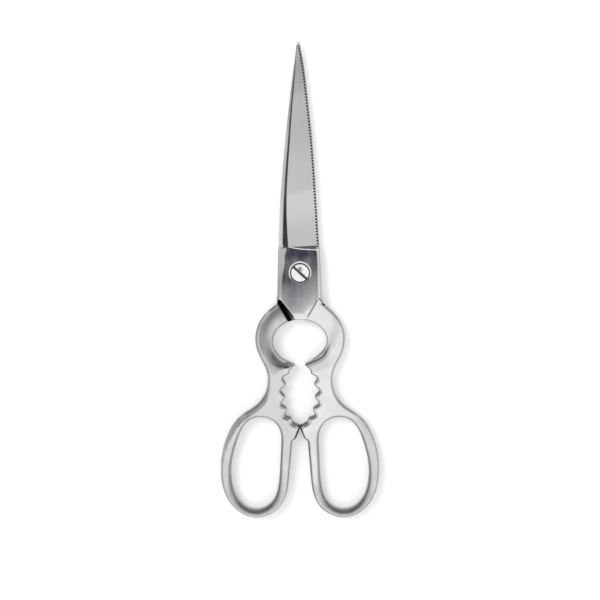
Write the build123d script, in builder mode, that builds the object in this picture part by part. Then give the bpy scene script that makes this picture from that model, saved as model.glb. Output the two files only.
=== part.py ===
"""All-steel kitchen shears, lying closed on a table with the screw head up.

Two forged halves cross at a shouldered screw. Each half is one piece of steel: a ground blade, a flat
half-thickness neck that laps over the other half's neck, and a full-thickness handle with a curved arm, a
beak, a row of cracker teeth, a stop nub and a finger loop. The front half has the right-hand handle and a
finely notched cutting edge. The rear half is its twin, turned about the long axis, with a plain edge.

Millimetres. The origin is on the pivot axis at the table. +Y runs to the blade tips, +X to the handle of
the front half, +Z up through the screw head.
"""

import math
import os

from build123d import *

# Thicknesses
neck_thickness = 3.25  # of one half, from its outer flat to its inner flat
lap_clearance = 0.1  # between the two inner flats
handle_step = 0.4  # how far each handle's face lies below its own neck's outer flat
stack_height = 2 * neck_thickness + lap_clearance
inner_z = neck_thickness + lap_clearance  # inner flat of the front half
handle_top = stack_height - handle_step

# Blade, seen from above
blade_reach = 115.3  # pivot to tip
heel_reach = 12.0  # pivot to the heel, where the ground face starts
blade_width = 20.6  # at the heel
blade_set_over = 1.0  # how far the middle of the closed blades lies to the left of the pivot
rear_blade_inset = 0.4  # the rear blade hides behind the front one by this much on each side
edge_thickness = 0.45
hollow_depth = 0.22  # of the hollow grinding
spine_bevel_width = 2.3
spine_bevel_drop = 1.2
land_width = 2.0  # flat between the spine bevel and the ground face, at the heel
blade_root = 3.0  # how far the blade runs into the neck
tip_half_breadth = 0.7  # of the blade at its tip

# Stations along the blade from heel to tip, then each size at them as a share of its size at the heel
station_shares = [0.0, 0.12, 0.264, 0.409, 0.553, 0.697, 0.841, 0.94, 1.0]
width_shares = [1.0, 0.939, 0.862, 0.772, 0.655, 0.498, 0.303, 0.16, 0.06]
thickness_shares = [1.0, 0.95, 0.88, 0.81, 0.74, 0.66, 0.57, 0.5, 0.46]
bevel_shares = [1.0, 0.95, 0.85, 0.78, 0.68, 0.5, 0.35, 0.2, 0.1]
land_shares = [1.0, 0.6, 0.35, 0.3, 0.28, 0.24, 0.18, 0.1, 0.05]
set_over_shares = [0.5, 0.85, 1.0, 1.05, 1.05, 1.05, 1.05, 1.1, 1.15]

# Fine notches along the front half's cutting edge
notch_pitch = 1.53
notch_radius = 0.4
notch_inset = 0.15  # from the edge to the centre of each notch
notch_heel_margin = 1.2  # from the heel to the middle of the first notch
notch_tip_margin = 3.0  # from the last notch to the tip, at least

# Neck
neck_width = 22.3
neck_heel_width = 20.8
neck_set_over = 0.2
neck_side_drop = 12.2  # pivot to the foot of the straight side
flank_top_out = 9.9  # slanted flank, from here at the shoulder's height to its foot at the upper opening
flank_top_rise = 1.4  # of its top above the shoulder's height
flank_foot_out = 4.2
side_bevel_width = 2.3
side_bevel_drop = 1.0
flank_bevel_width = 1.2
flank_bevel_drop = 2.2
foot_bevel_width = 2.4
foot_bevel_drop = 0.9
plunge_run = 1.2  # length of the steep wall between the ground face and the neck's flat
slot_width = 2.0  # between a neck's flank and the shoulder of the other half's handle
shoulder_setback = 0.3  # of the shoulder's outer corner, down its own line
bridge_shares = (0.35, 0.0765)  # corner of the web inside the handle, of reach and length

# Handle, seen from above. Its drops are shares of its length, from the shoulder's height to the loop's foot
handle_reach = 39.5  # centre line to the outermost point of the loop
handle_length = 107.0
shoulder_drop = 15.0  # pivot to the shoulder's height
outer_edge_share = 0.445  # radius of the outer edges, of the wall between the loop and its finger hole
hole_edge_share = 0.4
opening_edge_radius = 0.7
tooth_bevel = 0.5
stop_clearance = 0.1  # from the centre line to each stop nub

# Outer side of the handle from the shoulder round to the stop nub, as shares of reach and length
outer_shares = [
    (0.418, 0.040),
    (0.511, 0.086),
    (0.562, 0.142),
    (0.562, 0.190),
    (0.506, 0.254),
    (0.430, 0.310),
    (0.410, 0.366),
    (0.451, 0.425),
    (0.547, 0.471),
    (0.684, 0.507),
    (0.810, 0.547),
    (0.899, 0.601),
    (0.967, 0.670),
    (1.000, 0.762),
    (0.987, 0.837),
    (0.919, 0.911),
    (0.785, 0.968),
    (0.608, 0.998),
    (0.430, 0.992),
    (0.266, 0.956),
    (0.177, 0.900),
    (0.139, 0.822),
    (0.121, 0.743),
    (0.104, 0.668),
    (0.086, 0.639),
    (0.046, 0.620),
    (0.018, 0.601),
]
stop_foot_share = 0.585  # where the nub reaches its stop face
stop_head_share = 0.574

# Finger hole, clockwise from its top
hole_shares = [
    (0.501, 0.531),
    (0.633, 0.544),
    (0.734, 0.587),
    (0.815, 0.664),
    (0.868, 0.757),
    (0.858, 0.837),
    (0.785, 0.911),
    (0.646, 0.953),
    (0.481, 0.956),
    (0.334, 0.916),
    (0.276, 0.855),
    (0.251, 0.757),
    (0.238, 0.664),
    (0.246, 0.601),
    (0.324, 0.553),
]

# Upper opening between the arms, an ellipse
opening_half_width = 13.4
opening_half_height_share = 0.102
opening_drop_share = 0.1795  # to its centre

# Beak at the foot of the upper opening
beak_gap = 5.3  # between the two beak tips when closed
beak_foot_share = 0.299  # to the foot of the beak's tip
beak_back_share = 0.313  # to the corner above the first tooth

# Cracker teeth: tips and roots on two ellipses about one centre
jaw_drop_share = 0.4205
tip_half_width = 7.2
tip_half_height_share = 0.145
root_half_width = 10.0
root_half_height_share = 0.155
tooth_count = 5
first_tooth_angle = 40.0
tooth_step_angle = 22.9

# Opener lip on the outer face, just outside the upper opening, with a hollow that slopes up behind it
lip_middle_out = 3.5
lip_middle_rise = 0.6  # above the middle of the upper opening
lip_radius = 11.7
lip_depth = 1.1
lip_hollow_width = 5.5
lip_start_angle = -97.0
lip_sweep_angle = 84.0

# Two hollows on the inner face, one down the arm and one along the beak, about the upper opening's middle
arm_hollow_radius = 17.2  # to the middle of the hollow
arm_hollow_width = 5.4
arm_hollow_depth = 0.4
arm_hollow_angles = (-52.0, 84.0)  # start and sweep
beak_hollow_radius = 13.2
beak_hollow_width = 5.4
beak_hollow_depth = 1.0
beak_hollow_angles = (-100.0, 50.0)

# Pivot screw, nut and their seats
head_radius = 4.5
head_height = 1.5
head_dome = 0.4
head_clearance = 0.5  # around the head
head_lift = 0.05  # running clearance under the head
seat_depth = 1.45
seat_bevel = 0.5
shoulder_radius = 3.0
shoulder_clearance = 0.05
thread_radius = 2.5
thread_clearance = 0.05
driver_slot_width = 1.3
driver_slot_depth = 0.9
driver_slot_angle = -42.0
nut_radius = 4.5
nut_thickness = 1.5
nut_clearance = 0.08  # around the nut
nut_recess = 0.1  # below the rear half's outer flat
nut_slot_width = 1.2
nut_slot_depth = 0.5
edge_break = 0.15

overrun = 3.0  # how far cutting tools run past what they cut


opening_half_height = opening_half_height_share * handle_length
opening_drop = shoulder_drop + opening_drop_share * handle_length
jaw_drop = shoulder_drop + jaw_drop_share * handle_length
loop_wall = (max(share[1] for share in outer_shares) - max(share[1] for share in hole_shares)) * handle_length


def at(shares):
    """A point of the handle from its shares of reach and length."""
    return (shares[0] * handle_reach, -shoulder_drop - shares[1] * handle_length)


def on_ellipse(half_width, half_height_share, angle):
    """A point of a jaw ellipse on the right-hand side."""
    turn = math.radians(angle)
    half_height = half_height_share * handle_length
    return (half_width * math.cos(turn), half_height * math.sin(turn) - jaw_drop)


def tooth_points():
    """Zigzag of the cracker teeth, from the lowest root up to the top tip."""
    points = []
    for tooth in reversed(range(tooth_count)):
        tip_angle = first_tooth_angle - tooth * tooth_step_angle
        root_angle = tip_angle - tooth_step_angle / 2
        points.append(on_ellipse(root_half_width, root_half_height_share, root_angle))
        points.append(on_ellipse(tip_half_width, tip_half_height_share, tip_angle))
    return points


def flank_line(extra, offset):
    """Ends of the slanted line beside the neck's flank: extra past its foot, offset outwards."""
    head = Vector(flank_top_out, flank_top_rise - shoulder_drop)
    foot = Vector(flank_foot_out, opening_half_height - opening_drop)
    down = (foot - head).normalized()
    outwards = Vector(-down.Y, down.X)
    head = head + outwards * offset
    foot = foot + outwards * offset + down * extra
    return (head.X, head.Y), (foot.X, foot.Y)


def shoulder_points():
    """Corner of the shoulder at the handle's outside, and its foot inside the upper opening."""
    head, foot = flank_line(overrun, slot_width)
    down = (Vector(*foot) - Vector(*head)).normalized()
    corner = Vector(*head) + down * shoulder_setback
    return (corner.X, corner.Y), foot


def blade_middle(index, side):
    """Middle of the blade at one station."""
    return side * blade_set_over * set_over_shares[index]


def blade_half_width(index, inset):
    """Half the blade's width at one station."""
    return max(blade_width * width_shares[index] / 2 - inset, tip_half_breadth)


def blade_height(index):
    """Distance from the pivot to one station of the blade."""
    return heel_reach + station_shares[index] * (blade_reach - heel_reach)


def make_blade(side, inset):
    """Blade with its spine at the left, lofted from heel to tip, and a root that runs into the neck."""
    with BuildPart() as blade:
        for index in range(len(station_shares)):
            spine = blade_middle(index, side) - blade_half_width(index, inset)
            edge = blade_middle(index, side) + blade_half_width(index, inset)
            outer = inner_z + neck_thickness * thickness_shares[index]
            bevel = spine + spine_bevel_width * bevel_shares[index]
            land = bevel + land_width * land_shares[index]
            drop = spine_bevel_drop * thickness_shares[index]
            edge_top = (edge, inner_z + edge_thickness)
            hollow = hollow_depth * width_shares[index]
            middle = ((land + edge) / 2, (outer + edge_top[1]) / 2 - hollow)
            with BuildSketch(Plane.XZ.offset(-blade_height(index))):
                with BuildLine():
                    Polyline(edge_top, (edge, inner_z), (spine, inner_z), (spine, outer - drop),
                             (bevel, outer), (land, outer))
                    ThreePointArc((land, outer), middle, edge_top)
                make_face()
        loft()
        extrude(blade.faces().sort_by(Axis.Y)[0], amount=blade_root)
    return blade.part


def make_handle():
    """Right-hand handle at its full thickness, with its edges rounded."""
    corner, foot = shoulder_points()
    beak_tip = (beak_gap / 2, -opening_drop)
    beak_foot = (beak_gap / 2, at((0, beak_foot_share))[1])
    beak_back = at((0, beak_back_share))[1]
    outer_points = [corner, *[at(share) for share in outer_shares]]
    stop_foot = (stop_clearance, at((0, stop_foot_share))[1])
    stop_head = (stop_clearance, at((0, stop_head_share))[1])
    outer_points.append(stop_foot)
    teeth = tooth_points()
    with BuildPart() as handle:
        with BuildSketch(Plane.XY):
            with BuildLine():
                Spline(*outer_points)
                Polyline(stop_foot, stop_head, *teeth, (teeth[-1][0], beak_back), beak_foot, beak_tip,
                         foot, corner)
            make_face()
            with BuildLine():
                Spline(*[at(share) for share in hole_shares], periodic=True)
            make_face(mode=Mode.SUBTRACT)
            with Locations((0, -opening_drop)):
                Ellipse(opening_half_width, opening_half_height, mode=Mode.SUBTRACT)
        extrude(amount=handle_top)
        curves = handle.edges().filter_by(GeomType.BSPLINE)
        fillet(curves.sort_by(SortBy.LENGTH)[:2], hole_edge_share * loop_wall)
        curves = handle.edges().filter_by(GeomType.BSPLINE)
        fillet(curves.group_by(SortBy.LENGTH)[-1], outer_edge_share * loop_wall)
        rim = handle.edges().filter_by(GeomType.ELLIPSE)
        fillet(rim.filter_by(lambda edge: edge.length > beak_gap), opening_edge_radius)
        level = handle.edges().filter_by(GeomType.LINE).filter_by(Axis.Z, reverse=True)
        jaw = level.filter_by(lambda edge: beak_back > edge.center().Y > stop_head[1])
        chamfer(jaw, tooth_bevel)
    return handle.part


def bevel_plane(start, end, width, drop):
    """Plane of a bevel on the neck's top, along a side that has the metal at its left, seen from above."""
    along = (Vector(*end) - Vector(*start)).normalized()
    return Plane(origin=(*start, stack_height - drop), x_dir=(along.X, along.Y, 0),
                 z_dir=(along.Y * drop, -along.X * drop, width))


def make_neck(side):
    """Flat neck of the front half: bevelled sides and flanks, and the steep wall at the blade's heel."""
    heel_middle = blade_middle(0, side)
    foot_middle = side * neck_set_over
    heel_end = heel_reach + plunge_run
    foot_drop = opening_half_height - opening_drop
    right_head, right_foot = flank_line(overrun, 0)
    corners = [
        (heel_middle - neck_heel_width / 2, heel_end),
        (heel_middle + neck_heel_width / 2, heel_end),
        (foot_middle + neck_width / 2, -neck_side_drop),
        right_head,
        right_foot,
        (-right_foot[0], right_foot[1]),
        (-right_head[0], right_head[1]),
        (foot_middle - neck_width / 2, -neck_side_drop),
    ]
    with BuildPart() as neck:
        with BuildSketch(Plane.XY.offset(inner_z)):
            Polygon(*corners, align=None)
        extrude(amount=neck_thickness)
        split(bisect_by=bevel_plane(corners[1], corners[0], plunge_run, neck_thickness), keep=Keep.BOTTOM)
        split(bisect_by=bevel_plane(corners[2], corners[1], side_bevel_width, side_bevel_drop),
              keep=Keep.BOTTOM)
        split(bisect_by=bevel_plane(corners[0], corners[7], side_bevel_width, side_bevel_drop),
              keep=Keep.BOTTOM)
        split(bisect_by=bevel_plane(corners[4], corners[3], flank_bevel_width, flank_bevel_drop),
              keep=Keep.BOTTOM)
        split(bisect_by=bevel_plane(corners[6], corners[5], flank_bevel_width, flank_bevel_drop),
              keep=Keep.BOTTOM)
        split(bisect_by=bevel_plane((0, foot_drop), (neck_width, foot_drop), foot_bevel_width,
                                    foot_bevel_drop), keep=Keep.BOTTOM)
    return neck.part


def make_bridge(side):
    """Half-thickness web that joins the neck to the shoulder of its handle."""
    corner, foot = shoulder_points()
    inside = at(bridge_shares)
    with BuildPart() as bridge:
        with BuildSketch(Plane.XY.offset(inner_z)):
            Polygon((side * neck_set_over + neck_width / 2, -neck_side_drop), corner, inside, foot,
                    (0, foot[1]), (0, -neck_side_drop), align=None)
        extrude(amount=handle_top - inner_z)
    return bridge.part


def upright_plane(origin, angle):
    """Upright plane with its x direction at an angle round Z and its y direction up."""
    radial = Vector(1, 0, 0).rotate(Axis.Z, angle)
    return Plane(origin=origin, x_dir=radial, z_dir=radial.cross(Vector(0, 0, 1)))


def make_forging(side, inset):
    """One half before its pivot hole is bored, in the front half's place."""
    handle = make_handle()
    neck = make_neck(side)
    bridge = make_bridge(side)
    blade = make_blade(side, inset)
    lip_middle = (lip_middle_out, lip_middle_rise - opening_drop)
    hollows = [
        (arm_hollow_radius, arm_hollow_width, arm_hollow_depth, arm_hollow_angles),
        (beak_hollow_radius, beak_hollow_width, beak_hollow_depth, beak_hollow_angles),
    ]
    with BuildPart() as forging:
        add([handle, neck, bridge, blade])
        with BuildSketch(Plane.XY.offset(inner_z)):
            with Locations((0, -opening_drop)):
                Ellipse(opening_half_width, opening_half_height)
        extrude(amount=stack_height, mode=Mode.SUBTRACT)
        with BuildSketch(upright_plane((*lip_middle, handle_top), lip_start_angle)):
            Polygon((lip_radius, -lip_depth), (lip_radius + lip_hollow_width, 0),
                    (lip_radius + lip_hollow_width, overrun), (lip_radius, overrun), align=None)
        revolve(axis=Axis((*lip_middle, 0), (0, 0, 1)), revolution_arc=lip_sweep_angle, mode=Mode.SUBTRACT)
        for radius, width, depth, (start_angle, sweep_angle) in hollows:
            with BuildSketch(upright_plane((0, -opening_drop, 0), start_angle)):
                with BuildLine():
                    left = radius - width / 2
                    right = radius + width / 2
                    ThreePointArc((left, 0), (radius, depth), (right, 0))
                    Polyline((right, 0), (right, -overrun), (left, -overrun), (left, 0))
                make_face()
            revolve(axis=Axis((0, -opening_drop, 0), (0, 0, 1)), revolution_arc=sweep_angle,
                    mode=Mode.SUBTRACT)
    return forging.part


def notch_places():
    """Middles of the fine notches along the front blade's cutting edge, a pitch apart from the heel."""
    edge_points = []
    for index in range(len(station_shares)):
        edge = blade_middle(index, -1) + blade_half_width(index, 0)
        edge_points.append((edge - notch_inset, blade_height(index)))
    edge_line = Spline(*edge_points, mode=Mode.PRIVATE)
    run = edge_line.length - notch_heel_margin - notch_tip_margin
    places = []
    for notch in range(int(run / notch_pitch) + 1):
        place = edge_line.position_at((notch_heel_margin + notch * notch_pitch) / edge_line.length)
        places.append((place.X, place.Y))
    return places


# Front half
front_forging = make_forging(-1, 0)
with BuildPart() as serrated_half:
    add(front_forging)
    with Locations((0, 0, stack_height)):
        CounterBoreHole(shoulder_radius + shoulder_clearance, head_radius + head_clearance, seat_depth)
    rim = serrated_half.faces().filter_by(Axis.Z).sort_by(Axis.Z)[-1].inner_wires().edges()
    chamfer(rim, seat_bevel)
    with BuildSketch(Plane.XY):
        with Locations(*notch_places()):
            Circle(notch_radius)
    extrude(amount=stack_height, mode=Mode.SUBTRACT)

# Rear half, bored in the front half's place and then turned about the long axis
rear_forging = make_forging(1, rear_blade_inset)
with BuildPart() as bored_forging:
    add(rear_forging)
    with Locations((0, 0, stack_height)):
        CounterBoreHole(thread_radius + thread_clearance, nut_radius + nut_clearance,
                        nut_recess + nut_thickness)
long_axis = Axis((0, 0, stack_height / 2), (0, 1, 0))
with BuildPart() as plain_half:
    add(bored_forging.part.rotate(long_axis, 180))

# Pivot screw: its shoulder stands on the rear half's inner flat and its head covers the front half's seat
head_z = stack_height - seat_depth + head_lift
rim_top = head_z + head_height
crown = rim_top + head_dome
dome_rim = head_radius - edge_break
dome_radius = (dome_rim ** 2 + head_dome ** 2) / (2 * head_dome)
with BuildPart() as pivot_screw:
    with BuildSketch(Plane.XY.offset(nut_recess)):
        Circle(thread_radius)
    extrude(amount=neck_thickness - nut_recess)
    with BuildSketch(Plane.XY.offset(neck_thickness)):
        Circle(shoulder_radius)
    extrude(amount=head_z - neck_thickness)
    with BuildSketch(Plane.XZ):
        with BuildLine():
            Polyline((0, crown), (0, head_z), (head_radius, head_z), (head_radius, rim_top - edge_break),
                     (dome_rim, rim_top))
            RadiusArc((dome_rim, rim_top), (0, crown), -dome_radius)
        make_face()
    revolve(axis=Axis.Z)
    with BuildSketch(Plane.XY.offset(crown - driver_slot_depth)):
        Rectangle(4 * head_radius, driver_slot_width, rotation=driver_slot_angle)
    extrude(amount=overrun, mode=Mode.SUBTRACT)

# Lock nut at the back, with a slot across its outer face
with BuildPart() as pivot_nut:
    with BuildSketch(Plane.XY.offset(nut_recess)):
        Circle(nut_radius)
        Circle(thread_radius + thread_clearance, mode=Mode.SUBTRACT)
    extrude(amount=nut_thickness)
    chamfer(pivot_nut.faces().sort_by(Axis.Z)[0].outer_wire().edges(), edge_break)
    with BuildSketch(Plane.XY.offset(nut_recess)):
        Rectangle(4 * nut_radius, nut_slot_width, rotation=driver_slot_angle)
    extrude(amount=nut_slot_depth, mode=Mode.SUBTRACT)

serrated_half.part.label = "serrated_half"
plain_half.part.label = "plain_half"
pivot_screw.part.label = "pivot_screw"
pivot_nut.part.label = "pivot_nut"

os.makedirs("parts", exist_ok=True)
export_step(serrated_half.part, "parts/serrated_half.step")
export_step(plain_half.part, "parts/plain_half.step")
export_step(pivot_screw.part, "parts/pivot_screw.step")
export_step(pivot_nut.part, "parts/pivot_nut.step")
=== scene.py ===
# %% [markdown]
# # Kitchen shears
#
# All-steel kitchen shears lie closed on a white table, seen from straight above. They are two forged
# halves crossed at a slotted screw. This file dresses the imported model: it builds each half again as
# one closed steel surface with softer edges, dished arms and ground notches than the plain solids
# have, gives every surface its own finish with shade and reflections painted into its colour, and lights
# it as in a studio.

# %% Load the imported model
import math
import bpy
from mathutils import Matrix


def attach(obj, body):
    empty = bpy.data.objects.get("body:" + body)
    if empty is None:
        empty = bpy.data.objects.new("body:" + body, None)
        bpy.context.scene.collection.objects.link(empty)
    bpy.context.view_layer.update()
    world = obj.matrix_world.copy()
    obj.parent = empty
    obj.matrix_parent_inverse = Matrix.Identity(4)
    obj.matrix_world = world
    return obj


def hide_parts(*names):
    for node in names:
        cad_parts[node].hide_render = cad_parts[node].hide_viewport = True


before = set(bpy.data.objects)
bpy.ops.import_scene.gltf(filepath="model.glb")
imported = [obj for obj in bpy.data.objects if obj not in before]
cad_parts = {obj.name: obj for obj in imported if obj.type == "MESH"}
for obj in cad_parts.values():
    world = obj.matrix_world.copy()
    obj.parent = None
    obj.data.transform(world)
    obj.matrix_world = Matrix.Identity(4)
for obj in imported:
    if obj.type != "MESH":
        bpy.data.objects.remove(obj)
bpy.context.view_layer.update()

from types import SimpleNamespace

import bpy
import numpy as np
from mathutils import Vector
from mathutils.geometry import delaunay_2d_cdt

# %% [markdown]
# ## Sizes
#
# Everything is worked out in millimetres, in the front half's place: blade up the table (+Y), spine at
# the left, handle at the right, outer face up (+Z). The rear half is the same forging, turned half a
# turn about the long axis that runs between the two. The sizes follow the photograph. They stay within
# about half a millimetre of the solid model's, and within 1.1 mm at the opener lip.

# %% Sizes of the forging
STACK, INNER, HANDLE_TOP = 6.6, 3.35, 6.2  # outer flat, inner flat and handle face of the front half
HEEL, REACH = 12.0, 115.3  # ground face's heel and the tip, from the pivot
HALF_BLADE, BLADE_THICKNESS = 10.3, 3.25
BEVEL_WIDTH, LAND_WIDTH, SPINE_DROP, HOLLOW = 2.3, 2.0, 1.2, 0.22
EDGE_HEIGHT = 0.45  # of the cutting edge above the inner flat
TIP_RADIUS = 0.85
NECK_FOOT = -12.2  # foot of the neck's straight side
FOOT_HALF, HEEL_HALF, LEFT_LESS = 11.15, 10.4, 0.35  # half widths of the neck, and how much less at the left
FOOT_OVER, HEEL_OVER = 0.2, 0.5  # how far the neck's middle is set over
HANDLE_REACH, HANDLE_LENGTH, SHOULDER_DROP = 39.49, 106.99, 15.0
RING, RING_DROP = np.array([13.4, 10.914]), 34.2  # half width and half height of the upper opening
TOOTH_ROOTS, TOOTH_TIPS = np.array([10.1, 0.155 * HANDLE_LENGTH]), np.array([7.1, 0.143 * HANDLE_LENGTH])
JAW_DROP, TOOTH_STEP = 60.0, 22.9  # middle of the teeth's ellipses, and degrees from tooth to tooth
BEAK_X, BEAK_FOOT, BEAK_BACK = 2.65, -46.3, -48.5
FLANK = np.array([[9.9, -13.6], [4.2, -23.3]])  # slanted side of the neck, head and foot
SLOT = 2.0  # between a flank and the other half's shoulder

STATION_SHARES = np.array([0, .12, .264, .409, .553, .697, .841, .94, 1])
BLADE_SHARES = {
    "width": [1, .949, .869, .765, .638, .481, .315, .178, .075],
    "thickness": [1, .95, .88, .81, .74, .66, .57, .5, .46],
    "bevel": [1, .95, .85, .78, .68, .5, .35, .2, .1],
    "land": [1.25, .8, .5, .38, .32, .26, .18, .1, .05],
    "set_over": [.3, .55, .65, .55, .48, .48, .5, .7, .95],
}
OUTER_SHARES = np.array([
    (.418, .040), (.511, .086), (.562, .142), (.562, .190), (.506, .254), (.430, .310), (.410, .366),
    (.451, .425), (.547, .471), (.684, .507), (.810, .547), (.899, .601), (.967, .670), (1, .762),
    (.987, .837), (.919, .911), (.785, .968), (.608, .998), (.430, .992), (.266, .956), (.177, .900),
    (.139, .822), (.121, .743), (.106, .683), (.1, .655), (.089, .6415), (.061, .6345), (.041, .622),
    (.024, .605), (.01, .592)])
HOLE_SHARES = np.array([
    (.501, .531), (.633, .544), (.734, .587), (.815, .664), (.868, .757), (.858, .837), (.785, .911),
    (.646, .953), (.481, .956), (.334, .916), (.276, .855), (.251, .757), (.238, .664), (.246, .601),
    (.324, .553)])

# %% [markdown]
# ## Curves
#
# A maker lays the outline out with a few points and a flexible batten. The same is done here: a cubic
# spline, the batten, goes through given points and is then sampled evenly.

# %% Splines, straight runs and arcs


def batten(places, values):
    """Natural cubic through values at places: between two of them the curve is a cubic whose second
    derivative runs straight from one knot's to the next's, and is nought at both ends. A curve whose
    last value repeats its first is closed instead. Returns a function of any places."""
    places, values = np.asarray(places, float), np.asarray(values, float)
    closed = values.ndim > 1 and np.allclose(values[0], values[-1])
    gap = np.diff(places)
    slope = np.diff(values, axis=0) / (gap[:, None] if values.ndim > 1 else gap)
    count = len(places)
    matrix = np.zeros((count, count))
    right = np.zeros_like(values)
    row = np.arange(1, count - 1)
    matrix[row, row - 1] = gap[:-1]
    matrix[row, row] = 2 * (gap[:-1] + gap[1:])
    matrix[row, row + 1] = gap[1:]
    right[row] = 6 * (slope[1:] - slope[:-1])
    if closed:
        matrix[0, 0], matrix[0, 1], matrix[0, -2] = 2 * (gap[0] + gap[-1]), gap[0], gap[-1]
        right[0] = 6 * (slope[0] - slope[-1])
        matrix[-1, 0], matrix[-1, -1] = 1, -1
    else:
        matrix[0, 0] = matrix[-1, -1] = 1
    bend = np.linalg.solve(matrix, right)

    def curve(at):
        at = np.asarray(at, float)
        i = np.clip(np.searchsorted(places, at, side="right") - 1, 0, count - 2)
        width, into = gap[i], at - places[i]
        if values.ndim > 1:
            width, into = width[:, None], into[:, None]
        start, end = bend[i], bend[i + 1]
        return (values[i] + slope[i] * into
                - (2 * start + end) * into * width / 6 + start * into ** 2 / 2
                + (end - start) * into ** 3 / (6 * width))

    return curve


def run_along(path):
    """How far along a path of straight steps each of its points lies."""
    return np.r_[0, np.cumsum(np.hypot(*np.diff(path, axis=0).T))]


def closing(loop):
    """A loop as a path that ends where it starts."""
    return np.vstack([loop, loop[:1]])


def through(points, spacing, closed=False):
    """Points about one spacing apart on the batten through the given points."""
    points = np.asarray(points, float)
    if closed:
        points = closing(points)
    chord = run_along(points)
    steps = int(np.ceil(chord[-1] / spacing))
    line = batten(chord, points)(np.linspace(0, chord[-1], steps + 1))
    return line[:-1] if closed else line


def straight(points, spacing):
    """Points at most one spacing apart along straight runs between the given points."""
    points = np.asarray(points, float)
    steps = np.maximum(np.ceil(np.diff(run_along(points)) / spacing).astype(int), 1)
    at = np.repeat(np.arange(len(steps)), steps)
    share = np.arange(steps.sum()) - np.repeat(np.r_[0, np.cumsum(steps)[:-1]], steps)
    share = (share / steps[at])[:, None]
    return np.vstack([points[at] * (1 - share) + points[at + 1] * share, points[-1:]])


def circle(radius, count):
    """Points evenly round a circle about the pivot."""
    turn = np.linspace(0, 2 * np.pi, count, endpoint=False)
    return radius * np.column_stack([np.cos(turn), np.sin(turn)])


def on_ellipse(turn, half, drop):
    """Points of an ellipse with the given half width and half height, its middle a drop below the pivot."""
    return np.column_stack([half[0] * np.cos(turn), half[1] * np.sin(turn) - drop])


def handle_point(shares):
    """Points of the handle from their shares of its reach and length."""
    return np.column_stack([shares[:, 0] * HANDLE_REACH, -SHOULDER_DROP - shares[:, 1] * HANDLE_LENGTH])


def nearest(points, path):
    """Distance from each point to a path of straight steps, and how far along the path that place is:
    the point is dropped square onto every step, held between its ends, and the least distance kept."""
    start, step = path[:-1], np.diff(path, axis=0)
    size = np.hypot(*step.T)
    passed = np.r_[0, np.cumsum(size)[:-1]]
    distance, along = np.empty(len(points)), np.empty(len(points))
    for block in np.array_split(np.arange(len(points)), 1 + len(points) * len(step) // 3_000_000):
        gap = points[block, None] - start
        share = np.clip((gap * step).sum(-1) / size ** 2, 0, 1)
        square = ((gap - share[..., None] * step) ** 2).sum(-1)
        best = square.argmin(1)
        row = np.arange(len(block))
        distance[block] = np.sqrt(square[row, best])
        along[block] = passed[best] + share[row, best] * size[best]
    return distance, along


def direction(line):
    """Unit step from a straight line's first end to its last."""
    return (line[1] - line[0]) / np.hypot(*(line[1] - line[0]))


def beside(points, line):
    """Distance from a straight line, positive at its left as it runs from its first end to its last."""
    step = direction(line)
    gap = points - line[0]
    return step[0] * gap[:, 1] - step[1] * gap[:, 0]


def shifted(line, out):
    """A straight line moved to its left by a distance."""
    step = direction(line)
    return line + out * np.array([-step[1], step[0]])


def sided(points, path):
    """As nearest, with the distance negative at the path's left."""
    distance, along = nearest(points, path)
    at = np.clip(np.searchsorted(run_along(path), along, side="right") - 1, 0, len(path) - 2)
    step, gap = path[at + 1] - path[at], points - path[at]
    return np.where(step[:, 0] * gap[:, 1] - step[:, 1] * gap[:, 0] > 0, -distance, distance), along


def ease(value, low, high):
    """0 below low, 1 above high, and a smooth step between."""
    share = np.clip((value - low) / (high - low), 0, 1)
    return share * share * (3 - 2 * share)


def inside(points, loops):
    """Even-odd rule: a point is inside if an odd number of outline steps pass to the right of it."""
    start = np.vstack(loops)
    end = np.vstack([np.roll(loop, -1, axis=0) for loop in loops])
    order = np.argsort(points[:, 1])
    height = points[order, 1]
    low = np.searchsorted(height, np.minimum(start[:, 1], end[:, 1]))
    high = np.searchsorted(height, np.maximum(start[:, 1], end[:, 1]))
    count = high - low
    step = np.repeat(np.arange(len(start)), count)
    which = order[np.arange(count.sum()) + np.repeat(low - np.r_[0, np.cumsum(count)[:-1]], count)]
    rise = (points[which, 1] - start[step, 1]) / (end[step, 1] - start[step, 1])
    passes = start[step, 0] + rise * (end[step, 0] - start[step, 0]) > points[which, 0]
    return np.bincount(which[passes], minlength=len(points)) % 2 == 1


# %% [markdown]
# ## Outline of a half
#
# Seen from above, a half is one closed outline: up the notched edge, round the tip, down the spine and
# the neck, round the upper opening, along the beak and the cracker teeth to the stop nub, round the
# finger loop and back to the shoulder. The finger hole and the screw's bore are two more loops.

# %% The blade's lines at any height


def blade_lines(y, side, inset):
    """Where the spine, bevel, land and edge lie at height y, and the outer face's height and depth of
    hollow grinding there. side is -1 on the front half and 1 on the rear one."""
    rise = np.clip((np.asarray(y, float) - HEEL) / (REACH - HEEL), 0, 1)
    share = {name: batten(STATION_SHARES, values)(rise) for name, values in BLADE_SHARES.items()}
    half = np.maximum(HALF_BLADE * share["width"] - inset, TIP_RADIUS)
    middle = side * share["set_over"]
    spine, edge = middle - half, middle + half
    bevel = spine + BEVEL_WIDTH * share["bevel"]
    land = bevel + LAND_WIDTH * share["land"]
    outer = INNER + BLADE_THICKNESS * share["thickness"]
    return {"spine": spine, "bevel": bevel, "land": land, "edge": edge, "outer": outer,
            "drop": SPINE_DROP * share["thickness"], "hollow": HOLLOW * share["width"]}


def edge_line(side, inset, spacing=0.05):
    """The cutting edge from heel to the start of the round tip."""
    y = np.arange(HEEL, REACH - TIP_RADIUS, spacing)
    return np.column_stack([blade_lines(y, side, inset)["edge"], y])


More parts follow.
